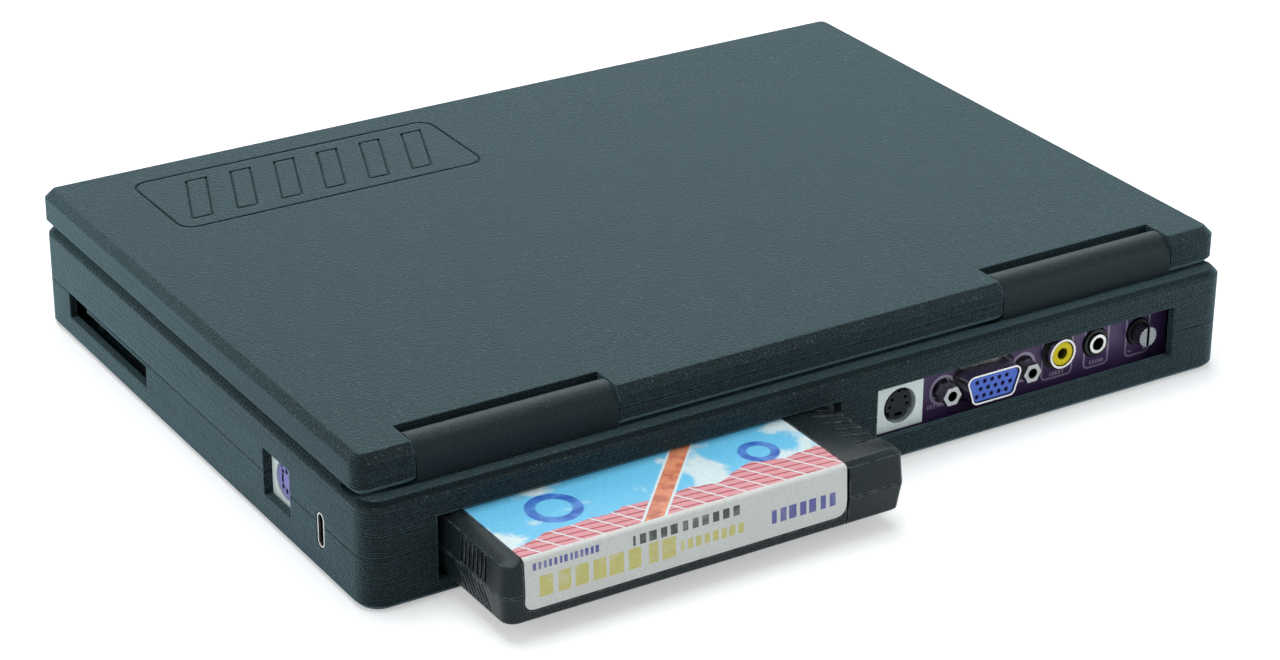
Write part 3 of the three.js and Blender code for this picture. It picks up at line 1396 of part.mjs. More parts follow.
const videoFootZ = boardTopZ + gap;
base.add(
  piece('lower_case', makeLowerCase(), 'casing'),
  piece('upper_case', makeUpperCase(), 'casing'),
  piece('main_board', makeMainBoard(), 'board'),
  piece('io_panel', makeIoPanel(), 'board'),
  piece('video_socket_housing', dinHousing('y', videoX, videoFaceY, videoFootZ), 'whitePlastic'),
  piece('video_socket_insert', dinInsert('y', videoX, videoFaceY, videoFootZ, videoPinTurns), 'blackPlastic'),
  piece('monitor_shell', makeVgaShell(), 'chrome'),
  piece('monitor_insert', makeVgaInsert(), 'bluePlastic'),
  piece('composite_body', makeRcaBody(), 'blackPlastic'),
  piece('composite_ring', makeRcaRing(), 'chrome'),
  piece('composite_insert', makeRcaInsert(), 'yellowPlastic'),
  piece('audio_body', makeAudioBody(), 'blackPlastic'),
  piece('audio_ring', makeAudioRing(), 'chrome'),
  piece('volume_body', makeVolumeBody(), 'blackPlastic'),
  piece('volume_shaft', makeVolumeShaft(), 'chrome'),
  piece('side_socket_housing', dinHousing('x', sideDinY, wallInnerX - gap, videoFootZ), 'whitePlastic'),
  piece('side_socket_insert', dinInsert('x', sideDinY, wallInnerX - gap, videoFootZ, sidePinTurns),
    'purplePlastic'),
  piece('port_shell', makePortShell(), 'chrome'),
  piece('port_tongue', makePortTongue(), 'blackPlastic'),
  piece('card_socket', makeCardSocket(), 'blackPlastic'),
  piece('cartridge_socket', makeCartridgeSocket(), 'blackPlastic'),
  piece('battery_pack', makeBattery(), 'cell'),
  piece('speaker', makeSpeaker(), 'blackPlastic'),
  piece('power_button', makePowerButton(), 'casing'),
);
studPlaces.forEach((x, i) => base.add(piece(`monitor_stud_${i + 1}`, makeStud(x), 'steel')));

for (const [side, sign] of [['right', 1], ['left', -1]]) {
  base.add(piece(`hinge_cover_${side}`, makeHingeCover(sign), 'casing'));
  base.add(piece(`hinge_bracket_${side}`, makeHingeBracket(sign), 'steel'));
  lid.add(piece(`hinge_pin_${side}`, makeHingePin(sign), 'steel'));
  lid.add(piece(`hinge_arm_${side}`, makeHingeArm(sign), 'steel'));
}

const cells = keyCells();
base.add(piece('keyboard_plate', makeKeyPlate(cells), 'keycap'));
for (const cell of cells.filter((one) => one.name)) {
  base.add(piece(cell.name, makeMovingKey(cell), 'keycap'));
}

lid.add(
  piece('lid_cover', makeLidCover(), 'casing'),
  piece('lid_bezel', makeLidBezel(), 'casing'),
  piece('screen_glass', screenSlab(glassMargin, glassFootZ, glassFootZ + glassThickness), 'glass'),
  piece('screen_panel', screenSlab(panelMargin, screenFootZ, screenFootZ + panelThickness), 'steel'),
);

cartridge.add(
  piece('cartridge_top', makeCartridgeTop(), 'casing'),
  piece('cartridge_bottom', makeCartridgeBottom(), 'casing'),
  piece('cartridge_board', makeCartridgeBoard(), 'board'),
  piece('cartridge_label', makeLabel(), 'label'),
);

export default laptop;
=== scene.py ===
import math

import bmesh
import bpy
from mathutils import Matrix, Vector
from mathutils.geometry import tessellate_polygon


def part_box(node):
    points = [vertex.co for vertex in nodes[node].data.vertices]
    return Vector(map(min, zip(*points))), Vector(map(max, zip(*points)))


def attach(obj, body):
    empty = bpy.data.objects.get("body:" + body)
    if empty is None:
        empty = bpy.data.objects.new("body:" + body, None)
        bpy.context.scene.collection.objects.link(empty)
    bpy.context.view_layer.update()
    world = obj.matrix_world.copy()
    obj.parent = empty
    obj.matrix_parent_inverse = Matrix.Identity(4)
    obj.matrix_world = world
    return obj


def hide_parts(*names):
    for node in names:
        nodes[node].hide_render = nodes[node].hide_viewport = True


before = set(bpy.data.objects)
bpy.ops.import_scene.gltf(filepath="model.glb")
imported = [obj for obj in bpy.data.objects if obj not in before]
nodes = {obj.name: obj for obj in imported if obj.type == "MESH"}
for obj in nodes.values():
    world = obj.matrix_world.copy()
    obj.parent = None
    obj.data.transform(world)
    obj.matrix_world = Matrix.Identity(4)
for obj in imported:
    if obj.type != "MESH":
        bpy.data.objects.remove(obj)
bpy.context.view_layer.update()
mm = 0.001
print("frame loaded:", len(nodes), "nodes")

# Camera, at the place that the photograph was taken from
photoView = {
    "eye": (421.24, 682.79, 389.77),
    "target": (-2.48, 14.47, 15.18),
    "roll": 0.011,
    "focalPixels": 3379.18,
    "imageSize": (1280, 660),
    "lensCentre": (665.24, 305.88),  # where the lens axis meets the image
    "sensor": 36.0,
    "clip": (0.05, 20),
}


def addCamera(view):
    eye = Vector(view["eye"]) * mm
    forward = (Vector(view["target"]) * mm - eye).normalized()
    level = forward.cross(Vector((0, 0, 1))).normalized()
    upright = level.cross(forward)
    c, s = math.cos(view["roll"]), math.sin(view["roll"])
    right = c * level + s * upright
    up = c * upright - s * level
    data = bpy.data.cameras.new("photoCamera")
    width, height = view["imageSize"]
    centreX, centreY = view["lensCentre"]
    data.sensor_fit = "HORIZONTAL"
    data.sensor_width = view["sensor"]
    data.lens = view["focalPixels"] * view["sensor"] / width
    data.shift_x = (width / 2 - centreX) / width
    data.shift_y = (centreY - height / 2) / width
    data.clip_start, data.clip_end = view["clip"]
    camera = bpy.data.objects.new("photoCamera", data)
    camera.matrix_world = Matrix.Translation(eye) @ Matrix((right, up, -forward)).transposed().to_4x4()
    bpy.context.scene.collection.objects.link(camera)
    bpy.context.scene.camera = camera


addCamera(photoView)
bpy.context.scene.view_settings.view_transform = "Standard"
print("camera placed")


# Small helpers for node trees
def addNode(tree, kind, values=None, **settings):
    node = tree.nodes.new("ShaderNode" + kind)
    for name, value in settings.items():
        setattr(node, name, value)
    for socket, value in (values or {}).items():
        if isinstance(value, bpy.types.NodeSocket):
            tree.links.new(value, node.inputs[socket])
        else:
            node.inputs[socket].default_value = value
    return node


def calc(tree, operation, *values, clamp=False):
    node = addNode(tree, "Math", dict(enumerate(values)), operation=operation, use_clamp=clamp)
    return node.outputs[0]


def blendColors(tree, factor, under, over, kind="MIX"):
    node = addNode(tree, "Mix", {0: factor, 6: under, 7: over}, data_type="RGBA", blend_type=kind)
    return node.outputs[2]


def remap(tree, value, low, high, toLow=0.0, toHigh=1.0):
    return addNode(tree, "MapRange", {0: value, 1: low, 2: high, 3: toLow, 4: toHigh}).outputs[0]


def framePlace(tree):
    return addNode(tree, "TexCoord").outputs["Object"]


def upwardNormal(tree):
    normal = addNode(tree, "NewGeometry").outputs["Normal"]
    return addNode(tree, "SeparateXYZ", {0: normal}).outputs[2]


def rgb(red, green, blue):
    # screen values of 0 to 255, made linear
    linear = [c / 3294.6 if c <= 10 else ((c / 255 + 0.055) / 1.055) ** 2.4 for c in (red, green, blue)]
    return (*linear, 1)


def newGroup(name, inputs, outputs):
    tree = bpy.data.node_groups.new(name, "ShaderNodeTree")
    for label, kind, default in inputs:
        socket = tree.interface.new_socket(name=label, in_out="INPUT", socket_type="NodeSocket" + kind)
        if default is not None:
            socket.default_value = default
    for label, kind in outputs:
        tree.interface.new_socket(name=label, in_out="OUTPUT", socket_type="NodeSocket" + kind)
    source = tree.nodes.new("NodeGroupInput")
    sink = tree.nodes.new("NodeGroupOutput")
    return tree, source.outputs, sink.inputs


def placeGroup(tree, group, values):
    node = tree.nodes.new("ShaderNodeGroup")
    node.node_tree = group
    for socket, value in values.items():
        if isinstance(value, bpy.types.NodeSocket):
            tree.links.new(value, node.inputs[socket])
        else:
            node.inputs[socket].default_value = value
    return node.outputs


# Smooth shading over shallow edges, as a modifier, so that the frame's own meshes stay as they are
shadingLook = {
    "shallow": 32,  # degrees between two faces
    "weld": 0.002,
}


def makeRoundedShading(look):
    group = bpy.data.node_groups.new("roundedShading", "GeometryNodeTree")
    for side in ("INPUT", "OUTPUT"):
        group.interface.new_socket(name="Geometry", in_out=side, socket_type="NodeSocketGeometry")
    add = group.nodes.new
    source, sink = add("NodeGroupInput"), add("NodeGroupOutput")
    merge, bare = add("GeometryNodeMergeByDistance"), add("GeometryNodeRemoveAttribute")
    faces, edges = add("GeometryNodeSetShadeSmooth"), add("GeometryNodeSetShadeSmooth")
    angle, shallow = add("GeometryNodeInputMeshEdgeAngle"), add("FunctionNodeCompare")
    merge.inputs["Distance"].default_value = look["weld"] * mm
    bare.inputs["Name"].default_value = "custom_normal"
    faces.domain, edges.domain = "FACE", "EDGE"
    shallow.data_type, shallow.operation = "FLOAT", "LESS_EQUAL"
    shallow.inputs[1].default_value = math.radians(look["shallow"])
    for before, after in ((source, merge), (merge, bare), (bare, faces), (faces, edges), (edges, sink)):
        group.links.new(before.outputs[0], after.inputs[0])
    group.links.new(angle.outputs[0], shallow.inputs[0])
    group.links.new(shallow.outputs[0], edges.inputs["Shade Smooth"])
    return group


roundedShading = makeRoundedShading(shadingLook)
for node in nodes.values():
    node.modifiers.new("roundedShading", "NODES").node_group = roundedShading
print("shading rounded")


# Shared effects
grainRanges = {
    "fine": (0.4, 0.62),
    "fineMiddle": 0.45,
    "cloudMiddle": 0.5,
    "patch": (0.3, 0.7),
}


def makeGrain(ranges):
    tree, given, out = newGroup(
        "mouldedGrain",
        [("Color", "Color", (0.1, 0.1, 0.1, 1)), ("Grain Scale", "Float", 2600.0), ("Contrast", "Float", 0.2),
         ("Cloud Scale", "Float", 28.0), ("Cloudiness", "Float", 0.08)],
        [("Color", "Color"), ("Height", "Float"), ("Patch", "Float"), ("Fine", "Float")])
    place = framePlace(tree)
    finePlace = {"Vector": place, "Scale": given["Grain Scale"], "Detail": 2.0, "Roughness": 0.6}
    fine = addNode(tree, "TexNoise", finePlace).outputs[0]
    cloudPlace = {"Vector": place, "Scale": given["Cloud Scale"], "Detail": 3.0}
    cloud = addNode(tree, "TexNoise", cloudPlace).outputs[0]
    sharp = remap(tree, fine, *ranges["fine"])
    fineOff = calc(tree, "SUBTRACT", sharp, ranges["fineMiddle"])
    fineLight = calc(tree, "MULTIPLY", fineOff, given["Contrast"])
    cloudOff = calc(tree, "SUBTRACT", cloud, ranges["cloudMiddle"])
    cloudLight = calc(tree, "MULTIPLY", cloudOff, given["Cloudiness"])
    light = calc(tree, "ADD", calc(tree, "ADD", fineLight, cloudLight), 1.0)
    lights = addNode(tree, "CombineXYZ", {0: light, 1: light, 2: light}).outputs[0]
    scaled = addNode(tree, "VectorMath", {0: given["Color"], 1: lights}, operation="MULTIPLY").outputs[0]
    tree.links.new(scaled, out["Color"])
    tree.links.new(fine, out["Height"])
    tree.links.new(sharp, out["Fine"])
    tree.links.new(cloud, out["Patch"])
    return tree


# Lighter edges: rubbed wear on most finishes, and a painted highlight along the cartridge's edges and ribs
wearAndHighlightRanges = {
    "samples": 4,
    "edge": (0.995, 0.8),  # how far the rounded normal leans from the flat one, as a cosine
    "brokenScale": 420.0,
    "broken": (0.35, 0.65),
}


def makeWearAndHighlight(ranges):
    tree, given, out = newGroup(
        "edgeWearAndHighlight",
        [("Color", "Color", (0.1, 0.1, 0.1, 1)), ("Wear And Highlight Color", "Color", (0.3, 0.3, 0.3, 1)),
         ("Width", "Float", 0.0006), ("Amount", "Float", 0.5)],
        [("Color", "Color")])
    rounded = addNode(tree, "Bevel", {"Radius": given["Width"]}, samples=ranges["samples"]).outputs[0]
    flat = addNode(tree, "NewGeometry").outputs["Normal"]
    facing = addNode(tree, "VectorMath", {0: rounded, 1: flat}, operation="DOT_PRODUCT").outputs["Value"]
    edge = remap(tree, facing, *ranges["edge"])
    place = framePlace(tree)
    brokenPlace = {"Vector": place, "Scale": ranges["brokenScale"], "Detail": 3.0}
    broken = addNode(tree, "TexNoise", brokenPlace).outputs[0]
    patchy = calc(tree, "MULTIPLY", edge, remap(tree, broken, *ranges["broken"]))
    mask = calc(tree, "MULTIPLY", patchy, given["Amount"], clamp=True)
    tree.links.new(blendColors(tree, mask, given["Color"], given["Wear And Highlight Color"]), out["Color"])
    return tree


layerRanges = {
    "sideways": 6.0,  # how fast the lines change along x and y
    "wave": 0.1,
}


def makeLayers(ranges):
    tree, given, out = newGroup(
        "layerLines",
        [("Spacing", "Float", 0.0012), ("Unevenness", "Float", 0.6)],
        [("Height", "Float")])
    place = framePlace(tree)
    x, y, z = addNode(tree, "SeparateXYZ", {0: place}).outputs
    rise = calc(tree, "DIVIDE", z, given["Spacing"])
    sideways = ranges["sideways"]
    wander = calc(tree, "ADD", calc(tree, "MULTIPLY", x, sideways), calc(tree, "MULTIPLY", y, sideways))
    linePlace = addNode(tree, "CombineXYZ", {0: wander, 1: 0.0, 2: rise}).outputs[0]
    lines = addNode(tree, "TexNoise", {"Vector": linePlace, "Scale": 1.0, "Detail": 2.0}).outputs[0]
    uneven = calc(tree, "MULTIPLY", lines, given["Unevenness"])
    wave = calc(tree, "SINE", calc(tree, "MULTIPLY", rise, math.tau))
    mixed = calc(tree, "ADD", uneven, calc(tree, "MULTIPLY", wave, ranges["wave"]))
    upright = calc(tree, "SUBTRACT", 1.0, calc(tree, "ABSOLUTE", upwardNormal(tree)), clamp=True)
    tree.links.new(calc(tree, "MULTIPLY", mixed, upright), out["Height"])
    return tree


speckRanges = {
    "dot": (0.3, 0.12),
    "rare": 0.72,
    "onWalls": 0.15,
}


def makeSpecks(ranges):
    tree, given, out = newGroup(
        "dustSpecks",
        [("Color", "Color", (0.1, 0.1, 0.1, 1)), ("Dust Color", "Color", (0.5, 0.5, 0.5, 1)),
         ("Scale", "Float", 900.0), ("Amount", "Float", 0.3)],
        [("Color", "Color")])
    place = framePlace(tree)
    cell = addNode(tree, "TexVoronoi", {"Vector": place, "Scale": given["Scale"]}).outputs
    dot = remap(tree, cell["Distance"], *ranges["dot"])
    chosen = addNode(tree, "TexWhiteNoise", {"Vector": cell["Position"]}).outputs["Value"]
    rare = calc(tree, "GREATER_THAN", chosen, ranges["rare"])
    lying = calc(tree, "MAXIMUM", upwardNormal(tree), ranges["onWalls"])
    shown = calc(tree, "MULTIPLY", calc(tree, "MULTIPLY", dot, rare), lying)
    mask = calc(tree, "MULTIPLY", shown, given["Amount"], clamp=True)
    tree.links.new(blendColors(tree, mask, given["Color"], given["Dust Color"]), out["Color"])
    return tree


# Painted shade: surfaces go darker where ambient occlusion finds walls close by, in grooves, creases and
# bores
paintedShadeRanges = {
    "open": (0.8, 0.35),
    "samples": 8,
}


def makePaintedShade(ranges):
    tree, given, out = newGroup(
        "recessShade",
        [("Color", "Color", (0.1, 0.1, 0.1, 1)), ("Shade Color", "Color", (0.01, 0.01, 0.01, 1)),
         ("Reach", "Float", 0.0012), ("Amount", "Float", 0.7)],
        [("Color", "Color")])
    openness = addNode(tree, "AmbientOcclusion", {"Distance": given["Reach"]}, samples=ranges["samples"],
                       only_local=True).outputs["AO"]
    mask = calc(tree, "MULTIPLY", remap(tree, openness, *ranges["open"]), given["Amount"], clamp=True)
    tree.links.new(blendColors(tree, mask, given["Color"], given["Shade Color"]), out["Color"])
    return tree


def makeBar():
    tree, given, out = newGroup(
        "printedBar",
        [("Across", "Float", 0.0), ("Up", "Float", 0.0), ("Left", "Float", 0.0), ("Right", "Float", 1.0),
         ("Bottom", "Float", 0.0), ("Top", "Float", 1.0), ("Corner", "Float", 0.2), ("Blur", "Float", 0.1)],
        [("Mask", "Float"), ("Distance", "Float")])
    parts = []
    for value, low, high in (("Across", "Left", "Right"), ("Up", "Bottom", "Top")):
        middle = calc(tree, "MULTIPLY", calc(tree, "ADD", given[low], given[high]), 0.5)
        half = calc(tree, "MULTIPLY", calc(tree, "SUBTRACT", given[high], given[low]), 0.5)
        off = calc(tree, "ABSOLUTE", calc(tree, "SUBTRACT", given[value], middle))
        parts.append(calc(tree, "ADD", calc(tree, "SUBTRACT", off, half), given["Corner"]))
    a, b = parts
    pastA, pastB = calc(tree, "MAXIMUM", a, 0.0), calc(tree, "MAXIMUM", b, 0.0)
    beyond = addNode(tree, "CombineXYZ", {0: pastA, 1: pastB}).outputs[0]
    outside = addNode(tree, "VectorMath", {0: beyond}, operation="LENGTH").outputs["Value"]
    inside = calc(tree, "MINIMUM", calc(tree, "MAXIMUM", a, b), 0.0)
    distance = calc(tree, "SUBTRACT", calc(tree, "ADD", outside, inside), given["Corner"])
    tree.links.new(distance, out["Distance"])
    tree.links.new(remap(tree, distance, given["Blur"], 0.0), out["Mask"])
    return tree


grain = makeGrain(grainRanges)
wearAndHighlight = makeWearAndHighlight(wearAndHighlightRanges)
layers = makeLayers(layerRanges)
specks = makeSpecks(speckRanges)
paintedShade = makePaintedShade(paintedShadeRanges)
bar = makeBar()
print("shared effects built")


def newMaterial(name):
    material = bpy.data.materials.new(name)
    material.use_nodes = True
    tree = material.node_tree
    return material, tree, tree.nodes["Principled BSDF"]


def millimetres(tree):
    place = framePlace(tree)
    scaled = addNode(tree, "VectorMath", {0: place, 3: 1 / mm}, operation="SCALE").outputs[0]
    return addNode(tree, "SeparateXYZ", {0: scaled}).outputs


def circleField(tree, x, y, cx, cy):
    gap = addNode(tree, "CombineXYZ", {0: calc(tree, "SUBTRACT", x, cx), 1: calc(tree, "SUBTRACT", y, cy)})
    return addNode(tree, "VectorMath", {0: gap.outputs[0]}, operation="LENGTH").outputs["Value"]


def barMask(tree, across, up, area, corner, output="Mask"):
    left, right, bottom, top = area
    return placeGroup(tree, bar, {"Across": across, "Up": up, "Left": left, "Right": right, "Bottom": bottom,
                                  "Top": top, "Corner": corner})[output]


def patchyRoughness(tree, shader, patch, low, high):
    tree.links.new(remap(tree, patch, *grainRanges["patch"], low, high), shader.inputs["Roughness"])


def bumped(tree, shader, height, strength, distance, edge=0.0):
    values = {"Strength": strength, "Distance": distance, "Height": height}
    if edge:
        values["Normal"] = addNode(tree, "Bevel", {"Radius": edge}, samples=wearAndHighlightRanges["samples"]).outputs[0]
    tree.links.new(addNode(tree, "Bump", values).outputs[0], shader.inputs["Normal"])


# Black shell plastic of the laptop and of the cartridge
shellLook = {
    "casing": {
        "color": rgb(27, 33, 35), "wornAndHighlight": rgb(92, 106, 111), "wearAndHighlight": 0.4, "paintedShade": 0.75,
        "grain": 1.4, "grainScale": 1900, "sand": 0.35, "dust": 0.4, "lines": 1.2, "spacing": 0.0006,
        "roughness": 0.55, "gloss": 0.06, "tint": (0.6, 0.94, 1.0, 1),
        "sheen": 0.62, "sheenTint": (0.49, 0.86, 0.98, 1), "bump": 1.0, "edge": 0.0006,
        "seam": (26.4, 27.9),  # painted shade between the case's rim and the lid's foot: z, z
    },
    "barrel": {
        "color": rgb(22, 28, 31), "wornAndHighlight": rgb(70, 82, 86), "wearAndHighlight": 0.25, "paintedShade": 0.6,
        "grain": 0.5, "grainScale": 2200, "sand": 0.1, "dust": 0.1, "lines": 0.8, "spacing": 0.0005,
        "roughness": 0.4, "gloss": 0.16, "tint": (0.7, 0.95, 1.0, 1),
        "sheen": 0.16, "sheenTint": (0.4, 0.87, 1.0, 1), "bump": 0.4, "edge": 0.0006,
    },
    "cartridge": {
        # the cartridge's bright edge colour is a painted highlight on its edges and ribs, and its groove
        # darkening is painted shade
        "color": rgb(26, 33, 35), "wornAndHighlight": rgb(168, 180, 184), "wearAndHighlight": 0.85, "paintedShade": 0.9,
        "grain": 0.5, "grainScale": 2600, "sand": 0.1, "dust": 0.12, "lines": 0.0, "spacing": 0.001,
        "roughness": 0.3, "gloss": 0.2, "tint": (0.8, 0.97, 1.0, 1),
        "sheen": 0.03, "sheenTint": (0.6, 0.95, 1.0, 1), "bump": 0.16, "edge": 0.0005,
    },
    "keycap": {
        "color": rgb(42, 50, 53), "wornAndHighlight": rgb(84, 94, 98), "wearAndHighlight": 0.3, "paintedShade": 0.3,
        "grain": 0.3, "grainScale": 3200, "sand": 0.1, "dust": 0.05, "lines": 0.0, "spacing": 0.001,
        "roughness": 0.5, "gloss": 0.15, "tint": (0.85, 0.97, 1.0, 1),
        "sheen": 0.12, "sheenTint": (0.6, 0.95, 1.0, 1), "bump": 0.15, "edge": 0.0004,
    },
}


shellShared = {
    "cloudiness": 0.06,
    "shadeColor": rgb(8, 11, 13),
    "shadeReach": 0.0014,
    "sandColor": rgb(134, 152, 158),
    "sandScale": 1500.0,
    "dustColor": rgb(138, 150, 155),
    "roughnessSpread": 0.08,
    "sheenRoughness": 0.45,
    "bumpDistance": 0.0003,
}

# Painted shade: a dark line round the outside, where the closed lid meets the case
seamLook = {
    "color": rgb(4, 5, 6),
    "outline": (-125.0, 125.0, -91.75, 91.75),  # x, x, y, y
    "corner": 6.0,
    "depth": (-4.0, -3.5),  # from the outline inwards
    "blur": 0.1,
    "steepest": 0.95,
}


def seamMask(tree, low, high):
    look = seamLook
    x, y, z = millimetres(tree)
    depth = barMask(tree, x, y, look["outline"], look["corner"], "Distance")
    nearEdge = remap(tree, depth, *look["depth"])
    middle, half = (low + high) / 2, (high - low) / 2
    away = calc(tree, "ABSOLUTE", calc(tree, "SUBTRACT", z, middle))
    inBand = remap(tree, away, half + look["blur"], half - look["blur"])
    steep = calc(tree, "LESS_THAN", calc(tree, "ABSOLUTE", upwardNormal(tree)), look["steepest"])
    return calc(tree, "MULTIPLY", calc(tree, "MULTIPLY", nearEdge, inBand), steep)


def shellMaterial(name, look, shared):
    material, tree, shader = newMaterial(name)
    grained = placeGroup(tree, grain, {"Color": look["color"], "Grain Scale": look["grainScale"],
                                       "Contrast": look["grain"], "Cloudiness": shared["cloudiness"]})
    # lighter edges: rubbed wear, and a painted highlight where the colour and amount are high (the cartridge)
    wornAndHighlight = placeGroup(tree, wearAndHighlight, {"Color": grained["Color"], "Wear And Highlight Color": look["wornAndHighlight"],
                                   "Width": look["edge"], "Amount": look["wearAndHighlight"]})
    # painted shade, darker in grooves and creases where little light reaches
    shaded = placeGroup(tree, paintedShade, {"Color": wornAndHighlight["Color"], "Shade Color": shared["shadeColor"],
                                     "Reach": shared["shadeReach"], "Amount": look["paintedShade"]})
    sandy = placeGroup(tree, specks, {"Color": shaded["Color"], "Dust Color": shared["sandColor"],
                                      "Scale": shared["sandScale"], "Amount": look["sand"]})
    dusty = placeGroup(tree, specks, {"Color": sandy["Color"], "Dust Color": shared["dustColor"],
                                      "Amount": look["dust"]})
    color = dusty["Color"]
    # painted shade along the gap under the closed lid
    if "seam" in look:
        color = blendColors(tree, seamMask(tree, *look["seam"]), color, seamLook["color"])
    tree.links.new(color, shader.inputs["Base Color"])
    smoothest = look["roughness"] - shared["roughnessSpread"]
    roughest = look["roughness"] + shared["roughnessSpread"]
    tree.links.new(remap(tree, grained["Fine"], 0.0, 1.0, smoothest, roughest), shader.inputs["Roughness"])
    shader.inputs["Specular IOR Level"].default_value = look["gloss"]
    shader.inputs["Specular Tint"].default_value = look["tint"]
    shader.inputs["Sheen Weight"].default_value = look["sheen"]
    shader.inputs["Sheen Tint"].default_value = look["sheenTint"]
    shader.inputs["Sheen Roughness"].default_value = shared["sheenRoughness"]
    height = grained["Height"]
    if look["lines"]:
        lined = placeGroup(tree, layers, {"Spacing": look["spacing"]})
        height = calc(tree, "ADD", height, calc(tree, "MULTIPLY", lined["Height"], look["lines"]))
    bumped(tree, shader, height, look["bump"], shared["bumpDistance"], edge=look["edge"])
    return material


casing = shellMaterial("casingPlastic", shellLook["casing"], shellShared)
barrelPlastic = shellMaterial("barrelPlastic", shellLook["barrel"], shellShared)
cartridgePlastic = shellMaterial("cartridgePlastic", shellLook["cartridge"], shellShared)
keycapPlastic = shellMaterial("keycapPlastic", shellLook["keycap"], shellShared)
print("shell plastics built")

# Plain plastics, metals and glass of the connectors
plainLook = {
    # name: color, roughness, metal, gloss, grain, grainScale, painted shade in its bores
    "whitePlastic": (rgb(242, 255, 253), 0.4, 0, 0.45, 0.06, 1500, 0.3),
    "blackPlastic": (rgb(24, 28, 31), 0.38, 0, 0.3, 0.3, 3000, 0.6),
    "insertPlastic": (rgb(26, 32, 35), 0.45, 0, 0.16, 0.2, 2500, 0.9),
    "purplePlastic": (rgb(146, 142, 214), 0.45, 0, 0.4, 0.1, 2500, 0.8),
    "yellowPlastic": (rgb(238, 216, 18), 0.38, 0, 0.25, 0.1, 2500, 0.9),
    "brightMetal": (rgb(208, 211, 210), 0.24, 1, 0.5, 0.1, 900, 0.95),
    "steel": (rgb(160, 163, 164), 0.32, 1, 0.5, 0.15, 1200, 0.95),
    "darkSteel": (rgb(124, 130, 134), 0.3, 1, 0.5, 0.2, 1200, 0.8),
    "keyPrint": (rgb(196, 204, 206), 0.5, 0, 0.3, 0.12, 2500, 0.0),
    "batteryWrap": (rgb(44, 50, 58), 0.5, 0, 0.4, 0.2, 1800, 0.3),
}
plainShared = {
    "cloudScale": 120.0,
    "cloudiness": 0.1,
    "wornLift": 1.4,
    "wearAndHighlight": 0.4,
    "edge": 0.0002,
    # painted shade deep in bores and recesses
    "boreShadeColor": rgb(9, 10, 11),
    "boreShadeReach": 0.0035,
    "smoother": 0.06,
    "rougher": 0.08,
    "bump": 0.12,
    "bumpDistance": 0.0001,
}


def plainMaterial(name, look, shared):
    color, roughness, metal, gloss, contrast, scale, bores = look
    material, tree, shader = newMaterial(name)
    grained = placeGroup(tree, grain, {"Color": color, "Grain Scale": scale, "Contrast": contrast,
                                       "Cloud Scale": shared["cloudScale"],
                                       "Cloudiness": shared["cloudiness"]})
    wornColor = [min(1, c * shared["wornLift"]) for c in color]
    wornAndHighlight = placeGroup(tree, wearAndHighlight, {"Color": grained["Color"], "Wear And Highlight Color": wornColor,
                                   "Width": shared["edge"], "Amount": shared["wearAndHighlight"]})
    # painted shade deep in the bores
    deep = placeGroup(tree, paintedShade, {"Color": wornAndHighlight["Color"], "Shade Color": shared["boreShadeColor"],
                                    "Reach": shared["boreShadeReach"], "Amount": bores})
    tree.links.new(deep["Color"], shader.inputs["Base Color"])
    smoothest, roughest = roughness - shared["smoother"], roughness + shared["rougher"]
    patchyRoughness(tree, shader, grained["Patch"], smoothest, roughest)
    shader.inputs["Metallic"].default_value = metal
    shader.inputs["Specular IOR Level"].default_value = gloss
    bumped(tree, shader, grained["Height"], shared["bump"], shared["bumpDistance"], edge=shared["edge"])
    return material


plain = {name: plainMaterial(name, look, plainShared) for name, look in plainLook.items()}

# Blue face of the fifteen-pin connector, with painted shade round its holes
pinFieldLook = {
    "color": rgb(78, 116, 222),
    "shade": rgb(30, 48, 118),
    "centre": (-52.0, 11.8),
    "pitch": (2.29, 1.98),
    "shift": 0.5725,  # the outer rows to one side, the middle row to the other
    "ring": 0.74,
    "blur": 0.1,
    "halfColumns": 2.45,
    "halfRows": 1.45,
    "grainScale": 2500.0,
    "contrast": 0.12,
    "roughness": (0.36, 0.5),
    "gloss": 0.4,
}


def pinFieldMaterial(look, shared):
    material, tree, shader = newMaterial("bluePlastic")
    x, _, z = millimetres(tree)
    row = calc(tree, "DIVIDE", calc(tree, "SUBTRACT", z, look["centre"][1]), look["pitch"][1])
    middle = calc(tree, "LESS_THAN", calc(tree, "ABSOLUTE", row), 0.5)
    shift = calc(tree, "SUBTRACT", look["shift"], calc(tree, "MULTIPLY", middle, look["shift"] * 2))
    aside = calc(tree, "SUBTRACT", calc(tree, "SUBTRACT", x, look["centre"][0]), shift)
    column = calc(tree, "DIVIDE", aside, look["pitch"][0])
    offs = []
    for value, pitch in ((column, look["pitch"][0]), (row, look["pitch"][1])):
        offs.append(calc(tree, "MULTIPLY", calc(tree, "SUBTRACT", value, calc(tree, "ROUND", value)), pitch))
    away = circleField(tree, offs[0], offs[1], 0.0, 0.0)
    inColumns = calc(tree, "LESS_THAN", calc(tree, "ABSOLUTE", column), look["halfColumns"])
    inRows = calc(tree, "LESS_THAN", calc(tree, "ABSOLUTE", row), look["halfRows"])
    inField = calc(tree, "MULTIPLY", inColumns, inRows)
    # painted shade round each pin hole
    ring = calc(tree, "MULTIPLY", remap(tree, away, look["ring"], look["ring"] - look["blur"]), inField)
    grained = placeGroup(tree, grain, {"Color": look["color"], "Grain Scale": look["grainScale"],
                                       "Contrast": look["contrast"]})
    tree.links.new(blendColors(tree, ring, grained["Color"], look["shade"]), shader.inputs["Base Color"])
    patchyRoughness(tree, shader, grained["Patch"], *look["roughness"])
    shader.inputs["Specular IOR Level"].default_value = look["gloss"]
    bumped(tree, shader, grained["Height"], shared["bump"], shared["bumpDistance"], edge=shared["edge"])
    return material


